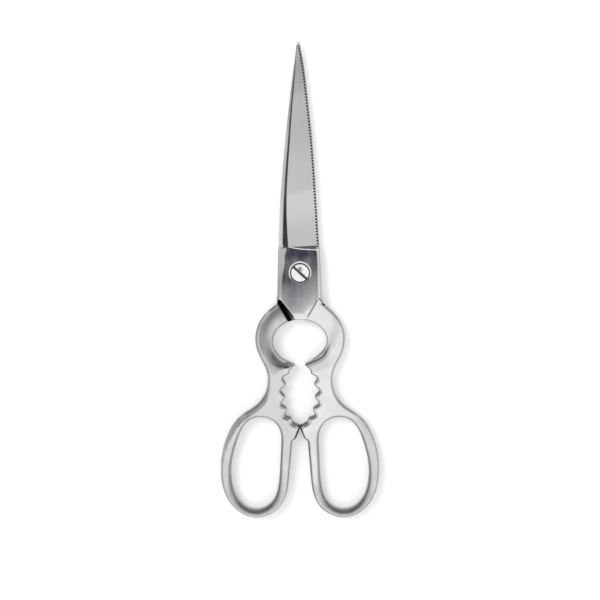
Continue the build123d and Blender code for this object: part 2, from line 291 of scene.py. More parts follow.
# %% [markdown]
# ### Notched edge
#
# The front blade's edge has fine notches that hold slippery food. A narrow round wheel grinds each one
# square across the edge, all at one pitch, so here each is an arc whose middle lies a little inside it.

# %% Notches
NOTCH_PITCH, NOTCH_RADIUS, NOTCH_INSET = 1.53, 0.4, 0.15
front_edge = edge_line(-1, 0)
run = run_along(front_edge)
notch_at = np.arange(1.2, run[-1] - 2.3, NOTCH_PITCH)
notch_middle = np.column_stack([np.interp(notch_at, run, front_edge[:, k]) for k in (0, 1)])
notch_along = np.gradient(notch_middle, axis=0)
notch_along /= np.hypot(*notch_along.T)[:, None]
notch_inward = np.column_stack([-notch_along[:, 1], notch_along[:, 0]])
print("notches:", len(notch_at))


def notched_edge():
    """The front half's edge from heel to tip: at each notch an arc dips in by radius plus inset."""
    half_turn = math.pi - math.acos(NOTCH_INSET / NOTCH_RADIUS)
    turn = np.linspace(-half_turn, half_turn, 11)
    inward, along = NOTCH_INSET + NOTCH_RADIUS * np.cos(turn), NOTCH_RADIUS * np.sin(turn)
    arc = (notch_middle[:, None] + notch_inward[:, None] * inward[:, None]
           + notch_along[:, None] * along[:, None])
    land = (notch_middle[:-1] + notch_middle[1:]) / 2
    spans = np.concatenate([arc[:-1], land[:, None]], axis=1).reshape(-1, 2)
    first = straight([front_edge[0], front_edge[np.searchsorted(run, notch_at[0] - 0.6)]], 0.4)
    last = front_edge[run > notch_at[-1] + 0.7][::8]
    return np.vstack([first, spans, arc[-1], last])


# %% [markdown]
# ### Handle, jaw and opening
#
# The handle's outline is the die's parting line. Its free curves are battens, the upper opening is an
# ellipse, and the cracker teeth lie between two ellipses. Filed corners are softened by cutting them.

# %% Outline of the handle
shoulder = shifted(FLANK, SLOT)
down = direction(FLANK)
corner = shoulder[0] + 0.3 * down
stop_foot = np.array([0.04, -SHOULDER_DROP - 0.585 * HANDLE_LENGTH])
stop_head = np.array([0.04, -SHOULDER_DROP - 0.572 * HANDLE_LENGTH])
outer_path = through(np.vstack([corner, handle_point(OUTER_SHARES), stop_foot]), 0.42)
hole_path = through(handle_point(HOLE_SHARES), 0.42, closed=True)


def teeth_points():
    """Zigzag of the cracker teeth from the lowest root up: tips and roots on two ellipses, a half step
    apart. The lowest root is only a shallow one."""
    tip_turn = np.radians(40.0 - TOOTH_STEP * np.arange(5)[::-1])
    root_turn = tip_turn - np.radians(TOOTH_STEP / 2)
    root, tip = on_ellipse(root_turn, TOOTH_ROOTS, JAW_DROP), on_ellipse(tip_turn, TOOTH_TIPS, JAW_DROP)
    root[0] = (3.6, -74.1)
    return np.stack([root, tip], axis=1).reshape(-1, 2)


def softened(points, share, rounds):
    """A path with its corners cut: each inner corner gives way to two points, a share of the way along
    its two sides, and the cut is repeated."""
    for _ in range(rounds):
        near = points[:-1] * (1 - share) + points[1:] * share
        far = points[:-1] * share + points[1:] * (1 - share)
        points = np.vstack([points[:1], np.stack([near, far], axis=1).reshape(-1, 2)[1:-1], points[-1:]])
    return points


teeth = teeth_points()
beak_turn = -math.acos(BEAK_X / RING[0])
beak_tip = on_ellipse(np.array([beak_turn]), RING, RING_DROP)[0]
jaw_path = np.vstack([stop_foot, stop_head, softened(np.vstack([
    stop_head + [0.3, 0.3], teeth, [teeth[-1, 0], BEAK_BACK], [BEAK_X + 0.8, BEAK_FOOT - 0.3]]), 0.12, 2),
    [BEAK_X, BEAK_FOOT], beak_tip])
jaw_path = straight(jaw_path, 0.3)
jaw_run = run_along(jaw_path)
jaw_rise = np.gradient(jaw_path[:, 0], jaw_run)
left_flank = FLANK * [-1, 1]
ring_turns = np.linspace(beak_turn, math.radians(125), 400)


def ring_line(side):
    """The upper opening's edge from the beak's tip to the flank: an ellipse, into which the front
    half's opener lip stands up to 1.1 mm at the lower corner."""
    turn = np.degrees(ring_turns)
    lip = 1.1 * (side < 0) * ease(turn, 5, -40) * ease(turn, -76, -55)
    line = on_ellipse(ring_turns, RING[:, None] - lip, RING_DROP)
    return through(line[beside(line, left_flank) > 0][::12], 0.4)


ring_paths = {side: ring_line(side) for side in (-1, 1)}
print("outline lengths in points:", len(outer_path), len(hole_path), len(jaw_path), len(ring_paths[1]))


def outline(side, inset):
    """One closed loop, clockwise from the tip: edge, neck, handle, jaw, ring, flank, neck, spine."""
    edge = notched_edge() if side < 0 else edge_line(side, inset)[::12]
    y = np.arange(HEEL + 0.9, REACH - TIP_RADIUS, 0.9)
    spine = np.column_stack([blade_lines(y, side, inset)["spine"], y])
    turn = np.linspace(math.pi, 0, 13)[1:-1]
    tip = [side * BLADE_SHARES["set_over"][-1], REACH - TIP_RADIUS] + TIP_RADIUS * np.column_stack(
        [np.cos(turn), np.sin(turn)])
    heel_middle, foot_middle = side * HEEL_OVER, side * FOOT_OVER
    right = straight([[heel_middle + HEEL_HALF, HEEL - 0.2], [foot_middle + FOOT_HALF, NECK_FOOT],
                      outer_path[0]], 0.4)
    ring_path = ring_paths[side]
    left = straight([ring_path[-1], left_flank[0], [foot_middle - FOOT_HALF + LEFT_LESS, NECK_FOOT - 0.9],
                     [heel_middle - HEEL_HALF + LEFT_LESS, HEEL - 0.2]], 0.4)
    return np.vstack([edge[::-1], right[:-1], outer_path[:-1], jaw_path[:-1], ring_path[:-1], left, spine,
                      tip])


# %% [markdown]
# ## Heights
#
# A forging has no undercuts, so each half is two heights over its outline: one for the outer face and
# one for the inner. Each edge takes something off the height near it, a bevel or a round, and where two
# of them meet the deeper one wins, as it does on a grinder.

# %% What an edge takes off


def bevel(distance, width, depth, power=1.0):
    """Drop of a bevel: depth at the edge, falling to nought at width inside it."""
    return depth * np.clip(1 - distance / width, 0, 1) ** power


def rounded(distance, radius, depth=None):
    """Drop of a rounded edge: depth times one less the height of a quarter circle, or of a quarter
    ellipse where the depth is not the radius."""
    short = np.clip(1 - distance / radius, 0, 1)
    return (radius if depth is None else depth) * (1 - np.sqrt(1 - short ** 2))


# %% [markdown]
# ### Neck and blade
#
# The neck is flat, so that the halves lie close, with bevels along its sides and flanks. The blade is
# ground on a large wheel, which leaves a shallow hollow below a narrow land. Where the wheel stopped, the
# neck's flat breaks off along a curved line.

# %% Outer face of the blade and the neck
LEFT_FLAT = np.array([
    [-13.2, -8.9], [-6, -8.9], [-2, -8.65], [1.5, -7.85], [5.5, -7.3], [9, -7.1], [11.5, -6.5], [14, -6.3]])
PLUNGE = np.array([[-12, 13.3], [-6.4, 13.2], [-3, 12.5], [0, 12.05], [5, 11.7], [12, 11.45]])


def plunge_line(x):
    """Height up the blade where the neck's flat breaks off above the ground face."""
    return batten(PLUNGE[:, 0], PLUNGE[:, 1])(x)


def neck_sides(y, side):
    """Where the neck's two straight sides lie at height y, and the two lines where its flat ends."""
    share = (np.asarray(y, float) - NECK_FOOT) / (HEEL - NECK_FOOT)
    middle = side * (FOOT_OVER + (HEEL_OVER - FOOT_OVER) * share)
    half = FOOT_HALF - (FOOT_HALF - HEEL_HALF) * share
    left, right = middle - half + LEFT_LESS, middle + half
    left_flat = batten(LEFT_FLAT[:, 0], LEFT_FLAT[:, 1])(y) + side * 0.5 + 0.5
    right_flat = right - np.interp(y, [NECK_FOOT, 5, HEEL], [2.1, 1.6, 1.8])
    return left, right, left_flat, right_flat


def along_flank(points, line):
    """Share of the way from a flank's head to its foot."""
    step = line[1] - line[0]
    return ((points - line[0]) @ step) / (step @ step)


def neck_drop(points, side, to_ring):
    """What the neck's bevels take off its flat: two sides, two flanks and the foot over the opening."""
    x, y = points.T
    left, right, left_flat, right_flat = neck_sides(y, side)
    slot_side = beside(points, left_flank)
    step_side = -beside(points, FLANK)
    down_slot = np.clip(along_flank(points, left_flank), 0, 1.2)
    down_step = ease(along_flank(points, FLANK), 0, 1)
    drops = [
        bevel(x - left, np.maximum(left_flat - left, 0.5), 1.0, 1.15),
        bevel(right - x, right - right_flat, 1.0),
        bevel(slot_side, 0.35 + 1.65 * down_slot, 2.9),
        bevel(slot_side - 0.35 - 1.65 * down_slot, 0.4, 0.12),
        bevel(step_side, 1.25, 2.2) * ease(along_flank(points, FLANK), -0.12, 0.0),
        bevel(step_side - 0.98, 0.4 + 3.0 * down_step, 0.1 + 0.2 * down_step),
        bevel(to_ring, 4.2, 0.9 - 0.5 * ease(x, 0, 4), 2.0),
    ]
    return np.maximum.reduce(drops)


GULLET_HALF, GULLET_REACH, GULLET_DEPTH = 0.47, 1.05, 0.55


def gullet(points):
    """How deep a point lies in one of the round-ended grooves that are ground across the notched edge,
    from 0 at a groove's rim to 1 along its middle: the distance from the nearest groove's middle line
    against its half width."""
    _, along = nearest(points, front_edge[::4])
    beyond = np.abs(along[:, None] - notch_at[None]).min(1)
    into = blade_lines(points[:, 1], -1, 0)["edge"] - points[:, 0]
    away = np.hypot(beyond, np.clip(into - GULLET_REACH, 0, None))
    return np.where(into < 3, np.clip(1 - (away / GULLET_HALF) ** 2, 0, 1), 0)


def blade_top(points, side, inset):
    """Across the blade from the spine: a bevel up to the flat, a narrow flat land, then the hollow
    ground face, a shallow arc below the straight line from the land down to the edge."""
    x, y = points.T
    line = blade_lines(y, side, inset)
    across = np.clip((x - line["land"]) / (line["edge"] - line["land"]), 0, 1)
    ground = (line["outer"] + across * (INNER + EDGE_HEIGHT - line["outer"])
              - 4 * line["hollow"] * across * (1 - across))
    spine_bevel = line["outer"] - line["drop"] * (line["bevel"] - x) / (line["bevel"] - line["spine"])
    height = np.where(x < line["bevel"], spine_bevel, ground)
    if side < 0:
        height = np.maximum(height - GULLET_DEPTH * gullet(points), INNER + 0.1)
    return height


# %% [markdown]
# ### Handle
#
# The handles are left as forged: rounded rims, a dished trough down the inner side of arm and beak that
# saves steel, and on the outer face a recess behind the lip that opens bottles. Each is a line on the
# plan, with a width and a depth that change along it.

# %% Lip, dish and rims of the handle
LIP = np.array([
    (15.7, -31), (15.3, -33.5), (14.5, -36), (13.3, -38.5), (12.2, -40.5), (10.4, -42.1), (7.2, -43.6),
    (3.6, -45.1), (1.5, -45.9)])
DISH = np.array([
    (13, -17.5), (15.8, -22), (17.2, -27), (17.3, -32.5), (16.2, -38), (13.8, -42), (9.5, -44.6),
    (5.5, -45.7), (2.2, -45.9)])
DISH_HALF_WIDTH = np.array([2.2, 2.6, 3.0, 3.3, 3.6, 3.4, 2.9, 2.0, 1.6])
DISH_DEPTH = np.array([0.25, 0.4, 0.5, 0.55, 0.6, 0.65, 0.6, 0.5, 0.35])
HANDLE_START = np.array([[8.5, -12.6], [12.2, -15.2]])  # from the step's head to the side of the neck
PIT = 11.75, -15.5  # small hollow between the neck's side and the step
lip_path = through(LIP, 0.4)
dish_path = through(DISH, 0.4)
dish_knots = run_along(DISH)


def lip_drop(points):
    """The recess behind the opener lip: a small wall down from the lip's line, then a slope back up to
    the handle's face. It grows from nothing along the first third of the lip."""
    behind, along = sided(points, lip_path)
    depth = 1.15 * ease(along, 0.5, 9.0)
    wall = np.clip(-behind / 0.06, 0, 1)
    return depth * wall * np.clip(1 + (behind + 0.06) / 5.6, 0, 1) ** 1.3


def dish_drop(points):
    """The dished trough down the arm and along the beak: a smooth hollow about a curved line, with a
    half width and a depth that change along it."""
    away, along = nearest(points, dish_path)
    half = np.interp(along, dish_knots, DISH_HALF_WIDTH)
    depth = np.interp(along, dish_knots, DISH_DEPTH)
    return depth * np.clip(1 - (away / half) ** 2, 0, 1) ** 1.5


def neck_foot_side(side):
    """The short edge from the foot of the neck's straight side out to the arm."""
    return np.array([[side * FOOT_OVER + FOOT_HALF, NECK_FOOT], corner])


def hole_round(y):
    """Width of the finger hole's rounded edge, which grows toward the foot of the loop."""
    return 1.5 + 0.6 * ease(-y, 74, 88) + 1.5 * ease(-y, 92, 114)


def to_stop(points):
    """Distance from the line along which the two stop nubs meet."""
    return np.hypot(points[:, 0], np.clip(np.abs(points[:, 1] + 77.1) - 0.8, 0, None))


def measures(points, side, inset):
    """Where each point of the plan lies: its distances from the lines that the faces and the finishes
    follow, and the widths and masks that both use."""
    x, y = points.T
    to_jaw, along_jaw = nearest(points, jaw_path)
    step_side = -beside(points, FLANK)
    return SimpleNamespace(
        points=points, x=x, y=y, side=side, inset=inset, radius=np.hypot(x, y), break_off=plunge_line(x),
        line=blade_lines(y, side, inset), to_outer=nearest(points, outer_path)[0],
        to_hole=nearest(points, closing(hole_path))[0], to_ring=nearest(points, ring_paths[side])[0],
        to_jaw=to_jaw, facing_up=ease(np.interp(along_jaw, jaw_run, jaw_rise), 0.1, 0.4),
        to_foot_side=nearest(points, neck_foot_side(side))[0], to_pit=np.hypot(x - PIT[0], y - PIT[1]),
        step_side=step_side, past_shoulder=beside(points, shoulder), hole=hole_round(y),
        tooth_width=1.5 + 0.4 * ease(-y, 71, 76), inner_width=0.9 + 1.2 * ease(-y, 62, 72),
        by_stop=ease(to_stop(points), 1.3, 0.85),
        on_handle=(beside(points, HANDLE_START) < 0) & (step_side < 0.99) & (x > 0) & (y < NECK_FOOT))


def rim_drop(at):
    """What both faces of the handle lose along the outline, the finger hole and the upper opening."""
    loop_bevel = 1.15 * ease(-at.y, 66, 76) * ease(-at.y, 104, 88) * ease(at.x, 20, 25)
    return np.maximum.reduce([
        rounded(at.to_outer, 2.0), rounded(at.to_hole, at.hole, 0.6 + 0.5 * at.hole),
        rounded(at.to_ring, 0.8), bevel(at.to_outer, 2.8, loop_bevel)])


# %% Height of the two faces


def outer_height(at, seat, seat_depth, seat_bevel):
    """Height of the outer face, and of the neck and the blade alone. The neck has its bevels, the seat
    of screw or nut and, on the front half, a low crest where it breaks off."""
    neck = STACK - neck_drop(at.points, at.side, at.to_ring)
    neck -= np.where(at.radius < seat + 0.01, seat_depth,
                     bevel(at.radius - seat, max(seat_bevel, 0.01), seat_bevel * 0.45))
    crest = (at.side < 0) * (at.x > -6) * (at.x < 9.4) * (at.y < at.break_off + 0.001)
    neck = (neck + crest * bevel(at.break_off - at.y, 0.45, 0.13)
            - 1.2 * np.clip(at.y - at.break_off, 0, None))
    blade = blade_top(at.points, at.side, at.inset)
    top = np.where(at.y < HEEL - 0.6, neck, np.maximum(neck, blade))
    handle = HANDLE_TOP - np.maximum.reduce([
        rim_drop(at), bevel(at.to_jaw, at.tooth_width, 0.85 + 0.2 * ease(-at.y, 71, 76)),
        lip_drop(at.points), bevel(at.to_foot_side, 1.26, 0.6), 1.4 * ease(at.to_pit, 1.2, 0.4)])
    return np.where(at.on_handle, np.maximum(neck, handle), top), neck, blade


def inner_height(at):
    """Height of the inner face: the lap's flat, and below the shoulder's step the handle."""
    arm_bevel = bevel(at.to_outer, 2.4, 0.85 * ease(-at.y, 16, 22) * ease(-at.y, 62, 48))
    handle = np.maximum.reduce([
        rim_drop(at), arm_bevel, bevel(at.to_jaw, at.inner_width, 0.55 + 0.4 * ease(-at.y, 62, 72)),
        bevel(at.past_shoulder, 0.4, 0.25)]) + dish_drop(at.points)
    over = np.clip((at.past_shoulder + 0.02) / 0.04, 0, 1)
    on_lap = (at.y > NECK_FOOT) | (at.x < 0)
    return np.where(on_lap, INNER, INNER + over * (handle - INNER))


# %% [markdown]
# ## Where each finish and each painted shade lies
#
# After forging, the handles are blasted with glass beads, the neck and the trough are lapped on a fine
# belt, and the blade is ground. What a lapped face mirrors depends on the room, and the photograph's
# room is not ours, so how dark each lapped face looks is painted into its colour by place, as painted
# reflection, in a few short tables; the dark lines along rims, bevels and teeth and the soft shade on the
# handles are painted shade, written down the same way.
# All of it is stored on the mesh as masks from 0 to 1, and the material reads them. The tables started
# from tones read off the photograph and were then changed. Gradients worked out from the
# forging's own lines would be the better way, and should take their place.

# %% Tables of painted shade and painted reflection
# The neck's flat by height, at its left and at its right: painted reflection darkness, darkest where it
# breaks off.
NECK_SHADE = np.array([
    [-22, 0.3, 0.1], [-18.5, 0.56, 0.2], [-16, 0.65, 0.35], [-13.5, 0.67, 0.48], [-11, 0.74, 0.57],
    [-8.5, 0.78, 0.62], [-6, 0.87, 0.65], [-3.5, 0.93, 0.72], [1.5, 0.88, 0.82], [5.5, 0.88, 0.86],
    [8.5, 1, 0.98], [11, 1, 1]])
# Painted shade of the arm's trough by turn about the opening, each row from its outer to its inner side.
TROUGH_TURNS = np.array([-8, 18, 36, 48, 57])
TROUGH_SHADE = np.array([
    [0.65, 0.66, 0.66, 0.66, 0.62, 0.33], [0.73, 0.72, 0.71, 0.5, 0.32, 0.12],
    [0.72, 0.8, 0.62, 0.35, 0.2, 0.1], [0.8, 0.8, 0.67, 0.43, 0.26, 0.2],
    [0.85, 0.85, 0.7, 0.5, 0.35, 0.25]])
# Painted shade behind the beak by distance from the opening.
BEAK_SHADE = np.array([[0, 0.5], [0.6, 0.5], [1.4, 0.82], [2.75, 0.88], [4, 0.76], [4.9, 0.7], [5.7, 0.46],
                       [7.3, 0.4], [9, 0.27], [12, 0]])
# Painted shade kept on the light line beside the trough, and the width of the painted dark band along the
# inner face's rim, both by drop below the pivot.
LIGHT_LINE = np.array([[20, 0.5], [25, 0.5], [29, 0.45], [35, 0.38], [43, 0.16], [52, 0.13]])
RIM_SHADE_WIDTH = np.array([
    [14, 1.2], [22, 1.45], [45, 1.45], [50, 1.25], [58, 1.7], [66, 2.7], [75, 2.8], [82, 2.4], [92, 1.4],
    [105, 0.9], [125, 0.7]])
# Places down the arm's outer face, each with how much painted soft shade it gets there.
ARM_SHADE = np.array([
    (17.5, -20, 0.1), (18.2, -25, 0.13), (18, -29, 0.13), (16, -33, 0.22), (15.5, -36, 0.22), (14.5, -39, 0)])


def rim_lines(at):
    """Painted dark lines along the rims of both faces, standing in for what rounded edges mirror: the finger
    hole's, the opening's and the jaw's, and painted shade along the foot of the finger hole.
    """
    return np.maximum.reduce([
        0.62 * ease(at.to_hole, 0.85 * at.hole, 0.33 * at.hole),
        0.55 * ease(at.to_hole, 3.3, 2.2) * ease(-at.y, 102, 114),
        0.5 * ease(at.to_ring, 0.85, 0.35), 0.68 * ease(at.to_jaw, 0.75, 0.42)])


def tooth_facets(at, width, line_at):
    """Painted shade on the teeth's bevels: a line along those that face up, and the whole lowest one."""
    line = 0.5 * at.facing_up * ease(np.abs(at.to_jaw - line_at), 0.3, 0.08)
    lowest = 0.55 * (1 - at.facing_up) * ease(-at.y, 70.0, 71.0) * (at.y > -76)
    return np.maximum(line, lowest * ease(at.to_jaw, width + 0.1, width - 0.15))


def neck_shade(at, flat):
    """Painted shade and reflection darkness of the neck: its flat by height from left to right, and the
    bevels along its sides.
    """
    left_shade, right_shade = (np.interp(at.y, NECK_SHADE[:, 0], NECK_SHADE[:, k]) for k in (1, 2))
    painted_shade = flat * (left_shade + ease(at.x, -3, 7) * (right_shade - left_shade))
    _, right, left_flat, right_flat = neck_sides(at.y, at.side)
    across = np.clip((at.x - right_flat) / (right - right_flat), 0, 1)
    right_bevel = np.interp(across, [0, 0.15, 0.45, 0.6, 1], [0, 0.14, 0.14, 0.42, 0.42])
    left_bevel = 0.42 * ease(left_flat - at.x, 0.0, 0.3) * (at.y > -13)
    bevels = np.where(at.x < 0, left_bevel, right_bevel * (1 - at.on_handle))
    return np.maximum(painted_shade, bevels * (at.y < at.break_off - 0.3))


def handle_shade(at):
    """Painted shade on the handle's outer face: dark lines at its rims and facets, and painted soft shadows
    down the arm and the loop.
    """
    facet = tooth_facets(at, at.tooth_width, at.tooth_width - 0.05)
    cast = np.maximum(0.25 * ease(-at.y, 98, 110), 0.2 * ease(at.x, 26, 31) * ease(-at.y, 62, 72))
    soft = ease(nearest(at.points, ARM_SHADE[:, :2])[0], 3.0, 0.5) * (at.x > 0)
    soft = soft * np.interp(-at.y, -ARM_SHADE[:, 1], ARM_SHADE[:, 2])
    painted_shade = np.maximum.reduce([rim_lines(at), facet, 0.6 * ease(at.to_outer, 1.3, 0.5), cast, soft])
    painted_shade = np.maximum(painted_shade * (at.y < -13.5), 0.42 * ease(at.to_foot_side, 1.5, 0.8))
    return painted_shade * np.where(at.y > -23, at.on_handle, 1.0)


def lip_recess(at):
    """The recess behind the opener lip, used as its lapped finish and as painted shade: a dark line at its
    wall and shade fading up the slope.
    """
    behind, past = sided(at.points, lip_path)
    before_wall = np.maximum(0.95 * ease(-behind, 0.9, 0.3), 0.55 * ease(-behind, 2.8, 0.4))
    beyond_wall = np.interp(-at.y, [31, 36, 39, 42], [0, 0.5, 0.62, 0.42]) + 0.4 * ease(behind, 0.6, 0.0)
    return ease(past, 0, 10) * at.on_handle * (at.x > 1) * np.where(behind < 0, before_wall, beyond_wall)


def trough_shade(at):
    """How dark the lapped trough of the arm and the beak is painted at each point, as painted reflection and
    shade: read off a table by the turn about the opening and the share of the way across, and off a line by
    distance under the beak. A painted light line runs between the trough and the bevel."""
    x, y, last = at.x, at.y, TROUGH_SHADE.shape[1] - 1
    turn = np.degrees(np.arctan2(y + RING_DROP, x))
    share = last * np.clip((at.to_outer - 2.1) / np.maximum(at.to_outer + at.to_ring - 2.7, 0.5), 0, 1)
    columns = np.stack([np.interp(turn, TROUGH_TURNS, column) for column in TROUGH_SHADE.T])
    step, row = np.minimum(share.astype(int), last - 1), np.arange(len(x))
    arm = columns[step, row] + (share - step) * (columns[step + 1, row] - columns[step, row])
    under = -y - np.interp(x, [2.6, 6, 8.5, 10.5, 13], [46.3, 47.4, 48, 49.2, 53])
    beak = np.interp(at.to_ring, BEAK_SHADE[:, 0], BEAK_SHADE[:, 1])
    beak = beak * ease(under / np.interp(x, [6, 13], [0.5, 3]), 1, -1)
    beak = beak * (1 - 0.75 * ease(at.to_ring, 1.7, 0.6) * ease(turn, -62, -45))
    dark = arm + ease(turn, -8, -30) * (beak - arm)
    light = np.interp(-y, LIGHT_LINE[:, 0], LIGHT_LINE[:, 1])
    return (light + ease(at.to_outer, 1.9, 2.3) * (dark - light)) * (x > 0)


# %% Masks of the two faces


def outer_masks(at, neck, blade, seat, seat_bevel):
    """The outer face's four masks: ground, lapped, painted shade and painted deep shade."""
    x, y, line = at.x, at.y, at.line
    on_blade = (y > HEEL - 2) & (blade >= neck - 0.002)
    ground = ease(x - line["land"], -0.02, 0.01) * on_blade
    wedge = (y > at.break_off + 0.02) & (neck > blade) & (x > line["land"] - 0.3)
    land = ease(x - line["bevel"], -0.06, 0.0) * ease(line["land"] - x, -0.04, -0.005) * ease(y, 11.6, 12.8)
    flat = ease(neck_drop(at.points, at.side, at.to_ring), 0.14, 0.02) * ease(at.break_off - y, 0.38, 0.46)
    flat = flat * (at.radius > seat + seat_bevel - 0.01) * np.where(at.on_handle, at.step_side > 0.99, 1.0)
    flat = flat * np.where(x < 0, beside(at.points, left_flank) > 0, 1.0)
    recess = lip_recess(at)
    smooth = np.maximum.reduce([flat, land, recess, wedge.astype(float)])
    # Painted shade: the neck's painted reflection, the plunge's wedge, the land, the handle and the lip's
    # recess.
    painted_shade = np.maximum.reduce([
        neck_shade(at, flat), wedge * 0.6, land * np.interp(y, [12, 40, 115], [1.0, 0.97, 0.9]),
        handle_shade(at), recess * (y > -49)])
    valley = 0.85 * ease(np.abs(at.step_side - 1.05), 0.5, 0.1) * (x > 0)
    # Painted deep shade, near black: the gap round the seat, the step's crease, the pit, the nubs' slit, the
    # land's left side and the notch grooves.
    black_shade = np.maximum.reduce([
        1.0 * (at.radius < seat + 0.005), valley * ease(-y, 13.0, 14.0) * ease(-y, 23.0, 21.0),
        0.9 * ease(at.to_pit, 1.1, 0.6) * at.on_handle, at.by_stop,
        0.5 * land * np.interp(y, [12, 35, 60], [1.0, 0.6, 0.2]),
        (at.side < 0) * ease(gullet(at.points), 0.0, 0.3) * on_blade * (line["edge"] - x > 0.4)])
    return ground, smooth, painted_shade, black_shade


def inner_masks(at, bottom):
    """The inner face's four masks. Nothing of it is ground, and all that laps the other half is flat."""
    x, y = at.x, at.y
    below_lap = bottom < INNER - 0.01
    flat = (bottom > INNER - 0.01).astype(float)
    trough = trough_shade(at) * below_lap
    on_shoulder = ease(-y, 56, 62) * ease(-y, 88, 80) * (x > 14)
    rim_shade_width = np.where((x > 14) | (y > -70), np.interp(-y, RIM_SHADE_WIDTH[:, 0], RIM_SHADE_WIDTH[:, 1]), 0.7)
    # Painted shade of the inner face: the trough, rims, teeth and loops, and the dark band along the
    # shoulder.
    painted_shade = below_lap * np.maximum.reduce([
        trough, rim_lines(at), 0.58 * ease(at.to_ring, 1.1, 0.65),
        tooth_facets(at, at.inner_width, at.inner_width), 0.17 * ease(-y, 47, 52), 0.25 * ease(-y, 98, 110),
        (0.5 + 0.1 * on_shoulder) * ease(at.to_outer, rim_shade_width + 0.3, rim_shade_width - 0.2),
        0.68 * on_shoulder * ease(np.abs(at.to_outer - rim_shade_width + 0.1), 0.5, 0.15)])
    in_slot = (beside(at.points, FLANK) > -0.2) & (at.past_shoulder < 0.3) & (x > 0)
    below_stop = ease(at.to_outer, 1.05, 0.6) * ease(-y, 77.5, 78.5) * ease(-y, 83.3, 81.5) * (x < 4)
    # Painted deep shade, near black: the slot beside the shoulder, the nubs' slit and below it.
    black_shade = np.maximum.reduce([flat * in_slot, at.by_stop, 0.95 * below_stop])
    return 0 * flat, np.maximum(ease(trough, 0.2, 0.5), flat), np.maximum(painted_shade, 0.6 * flat), black_shade


def half_heights(points, side, inset, seat, seat_depth, seat_bevel):
    """Outer and inner height of a half at each point of its plan, and the masks of its finishes there:
    ground, lapped (smoother than blasted), painted shade (shade and reflection darkness painted into the
    colour) and painted deep shade (near-black painted shade in slots, gaps and grooves), each for the outer
    and the inner face."""
    at = measures(points, side, inset)
    top, neck, blade = outer_height(at, seat, seat_depth, seat_bevel)
    bottom = inner_height(at)
    outer, inner = outer_masks(at, neck, blade, seat, seat_bevel), inner_masks(at, bottom)
    return top, bottom, dict(zip(("ground", "lapped", "painted_shade", "painted_deep_shade"), zip(outer, inner)))


# %% [markdown]
# ## From plan to mesh
#
# Points are laid over the plan: rows close together beside rounded edges, where the surface turns
# fast, and an even field elsewhere. A Delaunay net joins them, held to the outline and to the crease
# lines. Each point then becomes two, one at the outer height and one at the inner, and a wall joins
# the two nets along every outline. The result is one closed surface.

# %% Rows, fields and creases


def rows_beside(path, radius, side, closed=False):
    """Rows of points beside a path at the distances where a quarter round has turned 15, 30 ... 90
    degrees. side is 1 for the path's left and -1 for its right; the radius may change along it."""
    around = np.vstack([path[-1:], closing(path)]) if closed else path
    along = np.gradient(around, axis=0)
    along = along[1:-1] if closed else along
    along /= np.hypot(*along.T)[:, None]
    out = side * np.column_stack([-along[:, 1], along[:, 0]])
    away = np.outer(1 - np.cos(np.radians([15, 30, 45, 60, 75, 90])), radius * np.ones(len(path)))
    return (path + away[..., None] * out).reshape(-1, 2), away.ravel()


def field(low, high, pitch):
    """Points of an even field of triangles between two corners."""
    column, row = np.meshgrid(np.arange(low[0], high[0], pitch), np.arange(low[1], high[1], pitch * 0.866))
    column = column + pitch / 2 * (np.arange(row.shape[0])[:, None] % 2)
    return np.column_stack([column.ravel(), row.ravel()])


def trimmed(line, loops, gap):
    """The part of a crease that lies inside the outline and clear of it."""
    clear = inside(line, loops)
    for loop in loops:
        clear &= nearest(line, closing(loop))[0] > gap
    return line[clear]


def blade_field(side, inset):
    """Points over the blade in columns that follow its spine, bevel, land and edge."""
    y = np.arange(HEEL + 2.2, REACH - 1.2, 0.9)
    line = blade_lines(y, side, inset)
    ground = line["land"][:, None] + (line["edge"] - line["land"])[:, None] * np.linspace(0.08, 0.96, 13)
    strip = line["spine"][:, None] + (line["bevel"] - line["spine"])[:, None] * np.array([0.35, 0.7])
    x = np.hstack([ground, strip])
    points = np.column_stack([x.ravel(), np.repeat(y, x.shape[1])])
    if side < 0:
        clear = blade_lines(points[:, 1], side, inset)["edge"] - points[:, 0] > 1.85
        inward = np.array([0.2, 0.4, 0.6, 0.8, 1.0, 1.18, 1.34, 1.46, 1.54, 1.68])
        onward = np.array([-0.765, -0.48, -0.4, -0.27, -0.13, 0, 0.13, 0.27, 0.4, 0.48])
        groove = (notch_middle[:, None, None] + notch_inward[:, None, None] * inward[:, None, None]
                  + notch_along[:, None, None] * onward[:, None])
        points = np.vstack([points[clear], groove.reshape(-1, 2)])
    return points


# %% Net over the plan
SHARP_TURN = math.radians(24)


def plan_net(loops, creases, points):
    """Points and triangles of a Delaunay net that keeps every step of the loops and creases as an edge."""
    steps, first = [], 0
    for path in [*loops, *creases]:
        number = np.arange(len(path)) + first
        pairs = np.column_stack([number, np.roll(number, -1)])
        steps.append(pairs if len(steps) < len(loops) else pairs[:-1])
        first += len(path)
    corners = [*loops, *creases, points]
    net = delaunay_2d_cdt([Vector(p) for p in np.vstack(corners).tolist()], np.vstack(steps).tolist(), [],
                          0, 1e-6, False)
    spots = np.array([tuple(p) for p in net[0]])
    triangles = np.array(net[2])
    triangles = triangles[inside(spots[triangles].mean(axis=1), loops)]
    a, b, c = spots[triangles].transpose(1, 0, 2)
    turn = (b[:, 0] - a[:, 0]) * (c[:, 1] - a[:, 1]) - (b[:, 1] - a[:, 1]) * (c[:, 0] - a[:, 0])
    triangles = triangles[np.abs(turn) > 1e-9]
    turn = turn[np.abs(turn) > 1e-9]
    triangles[turn < 0] = triangles[turn < 0][:, ::-1]
    used, triangles = np.unique(triangles, return_inverse=True)
    return spots[used], triangles.reshape(-1, 3)


def placed(name, data):
    """A new object in the scene."""
    made = bpy.data.objects.new(name, data)
    bpy.context.scene.collection.objects.link(made)
    return made


